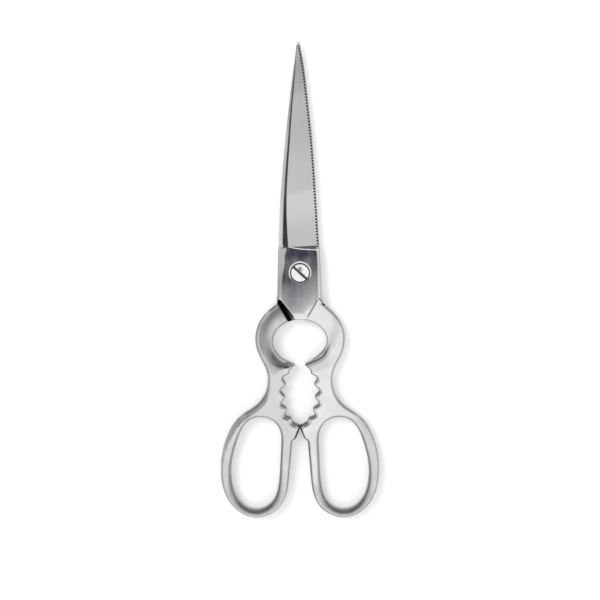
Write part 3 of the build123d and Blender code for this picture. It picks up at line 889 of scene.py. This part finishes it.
def closed_solid(name, spots, triangles, top, bottom, masks, turned=False, hard=None):
    """Mesh object from a plan net: the net at its outer heights, the net turned over at its inner
    heights, and two triangles of wall for each edge that only one triangle uses. An edge is drawn
    sharp where it turns more than 24 degrees or joins two points that are marked as hard."""
    count = len(spots)
    half_edges = np.vstack([triangles[:, [0, 1]], triangles[:, [1, 2]], triangles[:, [2, 0]]])
    key = half_edges[:, 0].astype(np.int64) * count + half_edges[:, 1]
    back = half_edges[:, 1].astype(np.int64) * count + half_edges[:, 0]
    rim = half_edges[~np.isin(key, back)]
    start, end = rim.T
    faces = np.vstack([
        triangles, triangles[:, ::-1] + count,
        np.column_stack([end, start, start + count]), np.column_stack([end, start + count, end + count])])
    places = np.vstack([np.column_stack([spots, top]), np.column_stack([spots, bottom])])
    if turned:
        places = places * [-1, 1, -1] + [0, 0, STACK]
    mesh = bpy.data.meshes.new(name)
    mesh.vertices.add(2 * count)
    mesh.vertices.foreach_set("co", (places * 0.001).ravel())
    mesh.loops.add(faces.size)
    mesh.loops.foreach_set("vertex_index", faces.ravel())
    mesh.polygons.add(len(faces))
    mesh.polygons.foreach_set("loop_start", np.arange(0, faces.size, 3))
    mesh.polygons.foreach_set("loop_total", np.full(len(faces), 3))
    mesh.update(calc_edges=True)
    mesh.polygons.foreach_set("use_smooth", np.ones(len(faces), bool))
    mesh.set_sharp_from_angle(angle=SHARP_TURN)
    if hard is not None:
        ends = np.empty(2 * len(mesh.edges), np.int32)
        mesh.edges.foreach_get("vertices", ends)
        marked = np.r_[hard, 0 * hard][ends.reshape(-1, 2)]
        sharp = np.empty(len(mesh.edges), bool)
        layer = mesh.attributes["sharp_edge"]
        layer.data.foreach_get("value", sharp)
        layer.data.foreach_set("value", sharp | ((marked[:, 0] == marked[:, 1]) & (marked[:, 0] > 0)))
    for mask, (upper, lower) in masks.items():
        layer = mesh.attributes.new(mask, "FLOAT", "POINT")
        layer.data.foreach_set("value", np.r_[upper, lower].astype(np.float32))
    mesh.validate()
    print(name, "triangles:", len(faces), "open edges:", len(rim) - len(np.unique(start)))
    return placed(name, mesh)


# %% [markdown]
# ## The two halves
#
# Both halves come from one function, as both come from one pair of dies. They differ in the finish:
# the front blade is notched and its neck is bored for the screw's head, the rear one for the nut.

# %% Creases and points of a half's plan
CREASE_PITCH, CREASE_CLEAR = 0.35, 0.07
EDGE_WEAR = 0.8  # how far in from an edge it is rubbed bright


def half_creases(side, inset):
    """Lines along which a half's faces break: the blade's bevel and land, the neck's flat, the plunge,
    the flanks, the handle's start, the shoulder and the opener lip."""
    y = np.arange(HEEL + 1.6, REACH - 1.5, 0.6)
    blade, heel = blade_lines(y, side, inset), blade_lines(np.array([HEEL]), side, inset)
    bevel_line, land_line = (np.column_stack([blade[name], y]) for name in ("bevel", "land"))
    bevel_line = bevel_line[blade["bevel"] - blade["spine"] > 0.25]
    land_line = land_line[blade["land"] - blade["bevel"] > 0.2]
    neck_y = np.linspace(NECK_FOOT + 0.6, HEEL - 0.4, 60)
    flats = [np.column_stack([x, neck_y]) for x in neck_sides(neck_y, side)[2:]]
    plunge_x = np.arange(heel["land"][0] + 0.3, heel["edge"][0] - 0.2, 0.35)
    down_slot = np.array([left_flank[0] + [0.35, 0.2], left_flank[1] + [1.75, 1.0]])
    slants = [down_slot, shifted(FLANK, -0.98), shifted(FLANK, -1.2)]
    starts = [HANDLE_START, shifted(HANDLE_START, -0.04)]
    by_shoulder = [shifted(shoulder, out) + [down * 0.2, down * 3] for out in (-0.02, 0.02)]
    return [bevel_line, land_line, land_line + [0.05, 0], *flats,
            np.column_stack([plunge_x, plunge_line(plunge_x)]),
            *(straight(line, CREASE_PITCH) for line in slants), *(straight(line, 0.3) for line in starts),
            *(straight(line, CREASE_PITCH) for line in by_shoulder), lip_path]


def half_points(side, inset, loops, creases, bore):
    """Points inside a half's plan: rows beside the rounded edges, fine fields over the jaw, the lip and
    the plunge, the blade's own columns and an even field elsewhere, all clear of outline and creases."""
    ring_path, rim, hole_rim = ring_paths[side], closing(loops[0]), closing(hole_path)
    rows = [rows_beside(outer_path, 2.3, -1),
            rows_beside(hole_path, hole_round(hole_path[:, 1]), 1, closed=True),
            rows_beside(ring_path, 0.8, -1)]
    row_points, row_gap = np.vstack([r[0] for r in rows]), np.concatenate([r[1] for r in rows])
    to_rim = np.minimum(nearest(row_points, rim)[0], nearest(row_points, hole_rim)[0])
    row_points = row_points[(to_rim > row_gap - 0.02) & inside(row_points, loops)]
    jaw_field = field((0, -80), (12, -44), 0.27)
    jaw_field = jaw_field[nearest(jaw_field, jaw_path)[0] < 2.7]
    lip_field = field((0, -50), (22, -28), 0.3)
    lip_field = lip_field[np.abs(sided(lip_field, lip_path)[0]) < 1.0]
    plunge_field = field((-6.4, 11), (10.6, 14.4), 0.22)
    fields = np.vstack([jaw_field, lip_field, plunge_field, field((-12, -123), (40, HEEL + 2.2), 0.5)])
    fields = fields[inside(fields, loops)]
    fields = fields[nearest(fields, outer_path)[0] > 2.45]
    fields = fields[nearest(fields, hole_path)[0] > hole_round(fields[:, 1]) + 0.15]
    fields = fields[nearest(fields, ring_path)[0] > 0.9]
    points = np.vstack([row_points, fields, blade_field(side, inset)])
    points = points[inside(points, loops) & (np.hypot(*points.T) > bore + 0.15)]
    points = points[nearest(points, rim)[0] > 0.04]
    for crease in creases:
        points = points[nearest(points, crease)[0] > CREASE_CLEAR]
    cells = np.round(points / 0.03).astype(int)
    return points[np.sort(np.unique(cells, axis=0, return_index=True)[1])]


# %% Forge a half


def forge_half(name, side, inset, seat, seat_depth, seat_bevel, bore, turned):
    """One half as a closed solid in its own place: its plan, its net and its heights."""
    loops = [outline(side, inset), hole_path, circle(bore, 72)]
    creases = [trimmed(crease, loops, 0.06) for crease in half_creases(side, inset)]
    creases = [crease for crease in creases if len(crease) > 1]
    seat_steps = [0, 0.02, seat_bevel] if seat_bevel else [0, 0.02]
    creases += [closing(circle(seat + step, 96)) for step in seat_steps]
    spots, triangles = plan_net(loops, creases, half_points(side, inset, loops, creases, bore))
    top, bottom, masks = half_heights(spots, side, inset, seat, seat_depth, seat_bevel)
    rim = np.minimum(*(nearest(spots, closing(loop))[0] for loop in loops[:2]))
    masks["edge"] = (np.clip(1 - rim / EDGE_WEAR, 0, 1),) * 2
    hard = np.zeros(len(spots), np.int32)
    for number, crease in enumerate(creases, 1):
        hard[nearest(spots, crease)[0] < 0.004] = number
    return closed_solid(name, spots, triangles, top, bottom, masks, turned, hard)


front_half = forge_half("front_half", -1, 0.0, 4.95, 1.45, 0.8, 3.05, turned=False)
rear_half = forge_half("rear_half", 1, 0.4, 4.58, 1.6, 0.0, 2.55, turned=True)
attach(front_half, "front")
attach(rear_half, "rear")
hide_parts("serrated_half")
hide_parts("plain_half")


# %% [markdown]
# ## The screw and the nut
#
# The screw is turned: a shank, a wider shoulder that the front half swings on, and a low domed head.
# The same plan-and-heights way makes it, with the slot as two creases across the head.

# %% Turn the screw and the nut
HEAD_RADIUS, HEAD_UNDERSIDE, HEAD_RIM, CROWN = 4.5, 5.2, 6.7, 7.09
SHOULDER_RADIUS, SHOULDER_FOOT, SHANK_RADIUS, SHANK_FOOT = 3.0, 3.25, 2.5, 0.1
NUT_RADIUS, NUT_BORE, NUT_TOP, NUT_FACE = 4.5, 2.55, 1.6, 0.1
SLOT_TURN = math.radians(-42)
SLOT_ALONG = np.array([math.cos(SLOT_TURN), math.sin(SLOT_TURN)])
SLOT_ACROSS = np.array([-SLOT_ALONG[1], SLOT_ALONG[0]])
SCREW_SLOT, NUT_SLOT = 0.65, 0.6  # half widths


def slot_lines(half_width, reach):
    """Six crease lines along a slot: each wall is a pair of lines a hair apart, with one more beside it."""
    beyond, wall = half_width + 0.12, half_width - 0.02
    lines = []
    for across in (-beyond, -half_width, -wall, wall, half_width, beyond):
        along = np.linspace(-1, 1, 41) * math.sqrt(reach ** 2 - across ** 2)
        lines.append(along[:, None] * SLOT_ALONG + across * SLOT_ACROSS)
    return lines


def clear_of(points, creases):
    """The points that don't crowd a crease."""
    for crease in creases:
        points = points[nearest(points, crease)[0] > 0.06]
    return points


def make_screw():
    """Domed head: a spherical cap, rounded at its rim and cut by a flat-bottomed slot."""
    loops = [circle(HEAD_RADIUS, 120)]
    creases = slot_lines(SCREW_SLOT, HEAD_RADIUS - 0.04)
    rings = np.vstack([circle(HEAD_RADIUS - step, 120) for step in (0.04, 0.12, 0.24, 0.4)])
    points = np.vstack([rings, field((-4.4, -4.4), (4.4, 4.4), 0.22)])
    points = points[np.hypot(*points.T) < HEAD_RADIUS - 0.03]
    steps = (SHOULDER_RADIUS, SHANK_RADIUS)
    for radius in steps:
        points = points[np.abs(np.hypot(*points.T) - radius - 0.01) > 0.1]
    points = clear_of(points, creases)
    creases += [closing(circle(radius + out, 72)) for radius in steps for out in (0, 0.02)]
    spots, triangles = plan_net(loops, creases, points)
    radius, across = np.hypot(*spots.T), np.abs(spots @ SLOT_ACROSS)
    cap = HEAD_RIM + (CROWN - HEAD_RIM) * (1 - (radius / HEAD_RADIUS) ** 2)
    top = cap - rounded(HEAD_RADIUS - radius, 0.4) - bevel(across - SCREW_SLOT, 0.12, 0.07)
    in_slot = across < SCREW_SLOT - 0.01
    top = np.where(in_slot, CROWN - 0.9, top)
    bottom = np.select([radius > SHOULDER_RADIUS + 0.01, radius > SHANK_RADIUS + 0.01],
                       [HEAD_UNDERSIDE, SHOULDER_FOOT], SHANK_FOOT)
    edge = np.clip(1 - (HEAD_RADIUS - radius) / EDGE_WEAR, 0, 1)
    # The slot's floor is painted near black as shade.
    return closed_solid("pivot_screw_head", spots, triangles, top, bottom,
                        {"edge": (edge, edge), "painted_deep_shade": (0.85 * in_slot, 0.0 * in_slot)})


def make_nut():
    """Flat round lock nut with a bore for the shank and a shallow slot over its outer face."""
    loops = [circle(NUT_RADIUS, 120), circle(NUT_BORE, 72)]
    creases, clear_bore = [], NUT_BORE + 0.2
    for line in slot_lines(NUT_SLOT, NUT_RADIUS - 0.06):
        along = line @ SLOT_ALONG
        creases += [part for part in (line[along > clear_bore], line[along < -clear_bore]) if len(part) > 1]
    rings = np.vstack([circle(NUT_RADIUS - step, 120) for step in (0.08, 0.2)])
    points = np.vstack([rings, field((-4.4, -4.4), (4.4, 4.4), 0.3)])
    radius = np.hypot(*points.T)
    points = clear_of(points[(radius < NUT_RADIUS - 0.05) & (radius > clear_bore)], creases)
    spots, triangles = plan_net(loops, creases, points)
    radius, across = np.hypot(*spots.T), np.abs(spots @ SLOT_ACROSS)
    in_slot = across < NUT_SLOT - 0.01
    bottom = (NUT_FACE + rounded(NUT_RADIUS - radius, 0.2) + bevel(radius - NUT_BORE, 0.15, 0.15)
              + bevel(across - NUT_SLOT, 0.12, 0.06))
    bottom = np.where(in_slot, NUT_FACE + 0.5, bottom)
    edge = np.clip(1 - (NUT_RADIUS - radius) / EDGE_WEAR, 0, 1)
    # The slot's floor is painted near black as shade.
    return closed_solid("pivot_lock_nut", spots, triangles, np.full(len(spots), NUT_TOP), bottom,
                        {"edge": (edge, edge), "painted_deep_shade": (0.0 * in_slot, 0.85 * in_slot)})


screw = make_screw()
nut = make_nut()
for piece, node, slot in ((screw, "pivot_screw", "screw_steel"), (nut, "pivot_nut", "nut_steel")):
    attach(piece, "rear")
    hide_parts(node)


# %% [markdown]
# ## Finishes
#
# Each finish is one material. It reads the part's own place (Object coordinates) and the masks on the
# mesh, so it stays on the steel when the shears open. A few helpers keep the node trees short.

# %% Node helpers


def shader(name):
    """A new node material, its node tree and its Principled BSDF."""
    material = bpy.data.materials.new(name)
    material.use_nodes = True
    return material, material.node_tree, material.node_tree.nodes["Principled BSDF"]


def node(tree, kind, values=None, **settings):
    """A node with its settings and socket values; a value that is a socket is linked instead."""
    made = tree.nodes.new(kind)
    for setting, value in settings.items():
        setattr(made, setting, value)
    for socket, value in (values or {}).items():
        if isinstance(value, bpy.types.NodeSocket):
            tree.links.new(value, made.inputs[socket])
        else:
            made.inputs[socket].default_value = value
    return made


def group(name, inputs, outputs):
    """A shader node group with the given sockets, and its input and output nodes."""
    tree = bpy.data.node_groups.new(name, "ShaderNodeTree")
    kinds = {"value": "NodeSocketFloat", "vector": "NodeSocketVector"}
    for socket, kind in inputs.items():
        tree.interface.new_socket(name=socket, in_out="INPUT", socket_type=kinds[kind])
    for socket, kind in outputs.items():
        tree.interface.new_socket(name=socket, in_out="OUTPUT", socket_type=kinds[kind])
    return tree, tree.nodes.new("NodeGroupInput").outputs, tree.nodes.new("NodeGroupOutput").inputs


def mapped(tree, value, low, high, to_low, to_high):
    """value carried from one range to another with a smooth step, and held at its ends."""
    ends = {"From Min": low, "From Max": high, "To Min": to_low, "To Max": to_high}
    return node(tree, "ShaderNodeMapRange", {"Value": value, **ends},
                interpolation_type="SMOOTHSTEP").outputs["Result"]


def blend(tree, share, first, second):
    """A value between two others, by a share."""
    return node(tree, "ShaderNodeMix", {"Factor": share, "A": first, "B": second}).outputs["Result"]


def mask(tree, name):
    """A mask that was stored on the mesh."""
    return node(tree, "ShaderNodeAttribute", attribute_name=name).outputs["Fac"]


# %% [markdown]
# ### Grinding marks, blasted grain and edge wear
#
# Three effects come back on several finishes, so each is a node group: the fine streaks that a wheel
# leaves, the grain that glass beads leave, and the brightening of edges that are rubbed by use.

# %% Grinding marks, blasted grain and edge wear
streak_group, taken, given = group("grinding_marks", {"Place": "vector", "Stretch": "vector"},
                                   {"Fine": "value", "Broad": "value"})
pulled = node(streak_group, "ShaderNodeVectorMath", {0: taken["Place"], 1: taken["Stretch"]},
              operation="MULTIPLY").outputs["Vector"]
fine = node(streak_group, "ShaderNodeTexNoise", {
    "Vector": pulled, "Scale": 1.0, "Detail": 4.0, "Roughness": 0.7})
wide = node(streak_group, "ShaderNodeVectorMath", {0: pulled, 1: (0.12, 0.12, 0.12)}, operation="MULTIPLY")
broad = node(streak_group, "ShaderNodeTexNoise", {
    "Vector": wide.outputs["Vector"], "Scale": 1.0, "Detail": 2.0})
streak_group.links.new(fine.outputs["Fac"], given["Fine"])
streak_group.links.new(broad.outputs["Fac"], given["Broad"])

grain_group, taken, given = group("blasted_grain", {"Place": "vector", "Size": "value"},
                                  {"Pits": "value", "Clouds": "value"})
frequency = node(grain_group, "ShaderNodeMath", {0: 1.0, 1: taken["Size"]}, operation="DIVIDE").outputs[0]
pits = node(grain_group, "ShaderNodeTexNoise", {"Vector": taken["Place"], "Scale": frequency, "Detail": 2.0})
slow = node(grain_group, "ShaderNodeMath", {0: frequency, 1: 0.03}, operation="MULTIPLY").outputs[0]
clouds = node(grain_group, "ShaderNodeTexNoise", {"Vector": taken["Place"], "Scale": slow, "Detail": 2.0})
grain_group.links.new(pits.outputs["Fac"], given["Pits"])
grain_group.links.new(clouds.outputs["Fac"], given["Clouds"])

wear_group, taken, given = group("edge_wear", {"Edge": "value", "Place": "vector"}, {"Worn": "value"})
patches = node(wear_group, "ShaderNodeTexNoise", {"Vector": taken["Place"], "Scale": 420.0, "Detail": 3.0})
rubbed = node(wear_group, "ShaderNodeMath", {0: taken["Edge"], 1: patches.outputs["Fac"]},
              operation="MULTIPLY")
wear_group.links.new(mapped(wear_group, rubbed.outputs[0], 0.2, 0.5, 0.0, 1.0), given["Worn"])
print("groups:", [made.name for made in (streak_group, grain_group, wear_group)])

# %% [markdown]
# ### Forged steel
#
# One bar of steel carries four finishes: bead-blasted handles, a finely lapped neck, land and dish, and
# the wheel-ground blade. Masks on the mesh say where each lies, and where shade is painted into the
# colour: painted shade and reflection darkness over the faces, and near-black painted shade in slots, gaps
# and the notch grooves. The finishes differ in colour and in how rough they are: a lapped face mirrors
# what is above it, a blasted one gathers light from all round. The ground face's brightness up the blade
# is a painted reflection.

# %% Forged steel
BLASTED, GROUND, RUBBED = (0.8, 0.797, 0.787), (0.68, 0.675, 0.66), (0.88, 0.88, 0.87)
# The first is the colour of painted shade and reflection darkness, the second the near black of painted deep
# shade.
DARK, PAINTED_BLACK = (0.06, 0.06, 0.082), (0.006, 0.006, 0.007)
BLASTED_ROUGH, GROUND_ROUGH, LAPPED_ROUGH = 0.3, 0.24, 0.2


def tint(tree, share, first, second):
    """A colour between two others, by a share; each may be three numbers or a socket."""
    first, second = ((*c, 1) if isinstance(c, tuple) else c for c in (first, second))
    return node(tree, "ShaderNodeMix", {"Factor": share, 6: first, 7: second}, data_type="RGBA").outputs[2]


# Painted reflection on the wheel-ground face: its brightness by height up the blade, in metres. These
# stops, too, started from tones read off the photograph.
PAINTED_BLADE_REFLECTION = [
    (0.012, 0.76), (0.017, 0.77), (0.022, 0.8), (0.027, 0.85), (0.031, 0.91), (0.039, 0.915),
    (0.0415, 0.795), (0.052, 0.79), (0.06, 0.77), (0.066, 0.735), (0.074, 0.72), (0.08, 0.745),
    (0.087, 0.75), (0.0915, 0.66), (0.097, 0.62), (0.103, 0.6), (0.108, 0.65), (0.115, 0.65)]


def levels(tree, value, stops):
    """A value read off straight lines between stops, each a place and the value there."""
    low, high = stops[0][0], stops[-1][0]
    place = node(tree, "ShaderNodeMapRange", {
        "Value": value, "From Min": low, "From Max": high}).outputs["Result"]
    ramp = node(tree, "ShaderNodeValToRGB", {"Fac": place})
    elements = ramp.color_ramp.elements
    while len(elements) < len(stops):
        elements.new(1.0)
    for element, (at, level) in zip(elements, stops):
        element.position = (at - low) / (high - low)
        element.color = (level, level, level, 1)
    return ramp.outputs["Color"]


def times(tree, first, second):
    """Two values multiplied."""
    return node(tree, "ShaderNodeMath", {0: first, 1: second}, operation="MULTIPLY").outputs[0]


def forged_steel(name):
    """Steel whose colour, roughness and marks follow the masks of its faces, with painted shade, painted deep
    shade and a painted reflection up the blade in its colour.
    """
    material, tree, surface = shader(name)
    place = node(tree, "ShaderNodeTexCoord").outputs["Object"]
    ground, lapped, painted_shade, painted_deep_shade, edge = (
        mask(tree, name) for name in ("ground", "lapped", "painted_shade", "painted_deep_shade", "edge"))
    streaks = node(tree, "ShaderNodeGroup", {"Place": place, "Stretch": (7000.0, 120.0, 120.0)},
                   node_tree=streak_group)
    lap_marks = node(tree, "ShaderNodeGroup", {"Place": place, "Stretch": (2600.0, 900.0, 900.0)},
                     node_tree=streak_group)
    grain = node(tree, "ShaderNodeGroup", {"Place": place, "Size": 0.0003}, node_tree=grain_group)
    worn = node(tree, "ShaderNodeGroup", {"Edge": edge, "Place": place}, node_tree=wear_group).outputs["Worn"]

    cloud = mapped(tree, grain.outputs["Clouds"], 0.3, 0.7, 0.94, 1.03)
    rough = blend(tree, lapped, times(tree, cloud, BLASTED_ROUGH), LAPPED_ROUGH)
    rough = blend(tree, ground, rough, mapped(tree, streaks.outputs["Broad"], 0.3, 0.7, GROUND_ROUGH - 0.03,
                                              GROUND_ROUGH + 0.04))
    rough = blend(tree, painted_deep_shade, rough, 0.7)
    tree.links.new(rough, surface.inputs["Roughness"])

    blasted = tint(tree, mapped(tree, grain.outputs["Clouds"], 0.35, 0.65, 0.0, 1.0),
                   tuple(c * 0.93 for c in BLASTED), tuple(c * 1.03 for c in BLASTED))
    blasted = tint(tree, times(tree, worn, 0.3), blasted, RUBBED)
    split = node(tree, "ShaderNodeSeparateXYZ", {0: place})
    aslant = node(tree, "ShaderNodeMath", {0: split.outputs["X"], 1: -0.22, 2: split.outputs["Y"]},
                  operation="MULTIPLY_ADD").outputs[0]
    # Painted reflection: the ground face brightens and darkens up the blade, slightly aslant, times its
    # streaks.
    reflection_up_blade = levels(tree, aslant, PAINTED_BLADE_REFLECTION)
    reflection_and_streaks = times(tree, reflection_up_blade, mapped(tree, streaks.outputs["Fine"], 0.3, 0.7, 0.965, 1.02))
    reflected_ground_color = tint(tree, reflection_and_streaks, (0.0, 0.0, 0.0), GROUND)
    color = tint(tree, ground, blasted, reflected_ground_color)
    smear = mapped(tree, lap_marks.outputs["Broad"], 0.3, 0.7, 0.93, 1.07)
    # Painted shade and reflection darkness, then near-black painted deep shade.
    color = tint(tree, times(tree, painted_shade, smear), color, DARK)
    color = tint(tree, painted_deep_shade, color, PAINTED_BLACK)
    tree.links.new(color, surface.inputs["Base Color"])
    surface.inputs["Metallic"].default_value = 1

    pitted = node(tree, "ShaderNodeBump", {
        "Height": grain.outputs["Pits"], "Strength": 0.12, "Distance": 0.00003})
    height = blend(tree, ground, 0.5, streaks.outputs["Fine"])
    marked = node(tree, "ShaderNodeBump", {"Height": height, "Strength": 0.12, "Distance": 0.00001,
                                           "Normal": pitted.outputs["Normal"]})
    tree.links.new(marked.outputs["Normal"], surface.inputs["Normal"])
    return material


steel = forged_steel("forged_steel")
for piece in (front_half, rear_half):
    piece.data.materials.append(steel)
print("nodes in forged_steel:", len(steel.node_tree.nodes))

# %% [markdown]
# ### Turned steel
#
# Screw and nut come off a lathe, whose tool leaves fine rings about the axis. The screw's head is then
# polished, the nut is left satin. The rings are noise along the distance from the axis.

# %% Turned steel


def turned_steel(name, color, low, high):
    """Bright turned steel with faint rings about the screw's axis, its slot painted near black as shade."""
    material, tree, surface = shader(name)
    place = node(tree, "ShaderNodeTexCoord").outputs["Object"]
    flat = node(tree, "ShaderNodeVectorMath", {0: place, 1: (1.0, 1.0, 0.0)},
                operation="MULTIPLY").outputs["Vector"]
    radius = node(tree, "ShaderNodeVectorMath", {0: flat}, operation="LENGTH").outputs["Value"]
    rings = node(tree, "ShaderNodeTexNoise", {"W": radius, "Scale": 9000.0, "Detail": 3.0},
                 noise_dimensions="1D")
    smears = node(tree, "ShaderNodeTexNoise", {"Vector": place, "Scale": 500.0, "Detail": 3.0})
    painted_deep_shade = mask(tree, "painted_deep_shade")
    rough = blend(tree, painted_deep_shade, blend(tree, smears.outputs["Fac"], low, high), 0.6)
    tree.links.new(rough, surface.inputs["Roughness"])
    clean = tint(tree, mapped(tree, smears.outputs["Fac"], 0.35, 0.65, 0.0, 1.0), color,
                 tuple(c * 0.88 for c in color))
    tree.links.new(tint(tree, painted_deep_shade, clean, PAINTED_BLACK), surface.inputs["Base Color"])
    surface.inputs["Metallic"].default_value = 1
    bump = node(tree, "ShaderNodeBump", {
        "Height": rings.outputs["Fac"], "Strength": 0.15, "Distance": 0.00001})
    tree.links.new(bump.outputs["Normal"], surface.inputs["Normal"])
    return material


screw.data.materials.append(turned_steel("polished_screw_steel", (0.9, 0.9, 0.89), 0.05, 0.15))
nut.data.materials.append(turned_steel("satin_nut_steel", (0.78, 0.78, 0.775), 0.2, 0.34))
print("materials:", [piece.data.materials[0].name for piece in (front_half, rear_half, screw, nut)])

# %% [markdown]
# ## Table and camera
#
# The photograph is a packshot: a white sweep, lit until it is pure white, and a camera straight above.
# The table here is a matt white sheet that shines a little only to the camera and in reflections, so it
# looks white without lighting the steel from below.

# %% Table and camera
CAMERA_HEIGHT, CAMERA_BACK, LENS, SENSOR = 0.4533, 0.0135, 54, 36
TABLE_HALF, TABLE_Z = 2, -0.0001

table = placed("table", bpy.data.meshes.new("table"))
corners = [(x * TABLE_HALF, y * TABLE_HALF, TABLE_Z) for x, y in ((-1, -1), (1, -1), (1, 1), (-1, 1))]
table.data.from_pydata(corners, [], [(0, 1, 2, 3)])
white, tree, surface = shader("white_table")
surface.inputs["Base Color"].default_value = (0.75, 0.75, 0.75, 1)
surface.inputs["Roughness"].default_value = 0.9
surface.inputs["Specular IOR Level"].default_value = 0.0
rays = node(tree, "ShaderNodeLightPath").outputs
seen = node(tree, "ShaderNodeMath", {0: rays["Is Camera Ray"], 1: rays["Is Glossy Ray"]},
            operation="ADD").outputs[0]
seen = node(tree, "ShaderNodeMath", {0: seen, 1: rays["Is Transmission Ray"]}, operation="MAXIMUM").outputs[0]
surface.inputs["Emission Color"].default_value = (1, 1, 1, 1)
tree.links.new(times(tree, seen, 0.3), surface.inputs["Emission Strength"])
table.data.materials.append(white)

camera = placed("camera", bpy.data.cameras.new("camera"))
camera.location = (0, -CAMERA_BACK, CAMERA_HEIGHT)
camera.data.lens = LENS
camera.data.sensor_width = SENSOR
camera.data.clip_start = 0.01
bpy.context.scene.camera = camera
print("camera at", tuple(camera.location), "lens", camera.data.lens)

# %% [markdown]
# ## Light
#
# Polished steel shows the room, so the room is drawn as a sky: a pale dome that darkens toward the
# horizon, a dark wall far beyond the tips, and a small dark card that the screw's head mirrors. One
# large soft lamp at the upper left gives the faint shadows, and is itself not mirrored.

# %% Sky and softbox
world = bpy.data.worlds.new("studio")
bpy.context.scene.world = world
world.use_nodes = True
tree = world.node_tree
toward = node(tree, "ShaderNodeTexCoord").outputs["Generated"]
split = node(tree, "ShaderNodeSeparateXYZ", {0: toward})
height = split.outputs["Z"]


def math_node(operation, first, second=0.0):
    """One step of arithmetic in the world's tree."""
    return node(tree, "ShaderNodeMath", {0: first, 1: second}, operation=operation).outputs[0]


above = math_node("MAXIMUM", height, 0.05)
east, north = (math_node("DIVIDE", split.outputs[axis], above) for axis in ("X", "Y"))
lean = math_node("ADD", math_node("MULTIPLY", split.outputs["Y"], -0.3),
                 math_node("MULTIPLY", split.outputs["X"], 0.16))
dome = mapped(tree, math_node("ADD", height, lean), 0.08, 0.6, 0.4, 1.05)
far_side = math_node("DIVIDE", math_node("ABSOLUTE", east),
                     math_node("MAXIMUM", math_node("MULTIPLY", north, 1.8), 0.05))
wall = times(tree, mapped(tree, far_side, 0.7, 1.3, 1.0, 0.0), mapped(tree, north, 0.34, 0.6, 0.0, 1.0))
wall = times(tree, wall, mapped(tree, north, 1.0, 1.6, 1.0, 0.0))
card = times(tree, mapped(tree, math_node("ABSOLUTE", east), 0.04, 0.09, 1.0, 0.0),
             mapped(tree, math_node("ABSOLUTE", math_node("SUBTRACT", north, 0.17)), 0.06, 0.12, 1.0, 0.0))
level = blend(tree, math_node("MAXIMUM", card, wall), dome, 0.16)
tree.links.new(level, tree.nodes["Background"].inputs["Strength"])
tree.nodes["Background"].inputs["Color"].default_value = (1, 1, 1, 1)

lamp = placed("softbox", bpy.data.lights.new("softbox", "AREA"))
lamp.data.size = 0.7
lamp.data.energy = 9.5
lamp.visible_glossy = False
lamp.location = (-0.75, 0.55, 1.0)
lamp.rotation_euler = (-lamp.location).to_track_quat("-Z", "Y").to_euler()

bpy.context.scene.view_settings.view_transform = "Standard"
print("lamp power:", lamp.data.energy, "W, sky nodes:", len(tree.nodes))
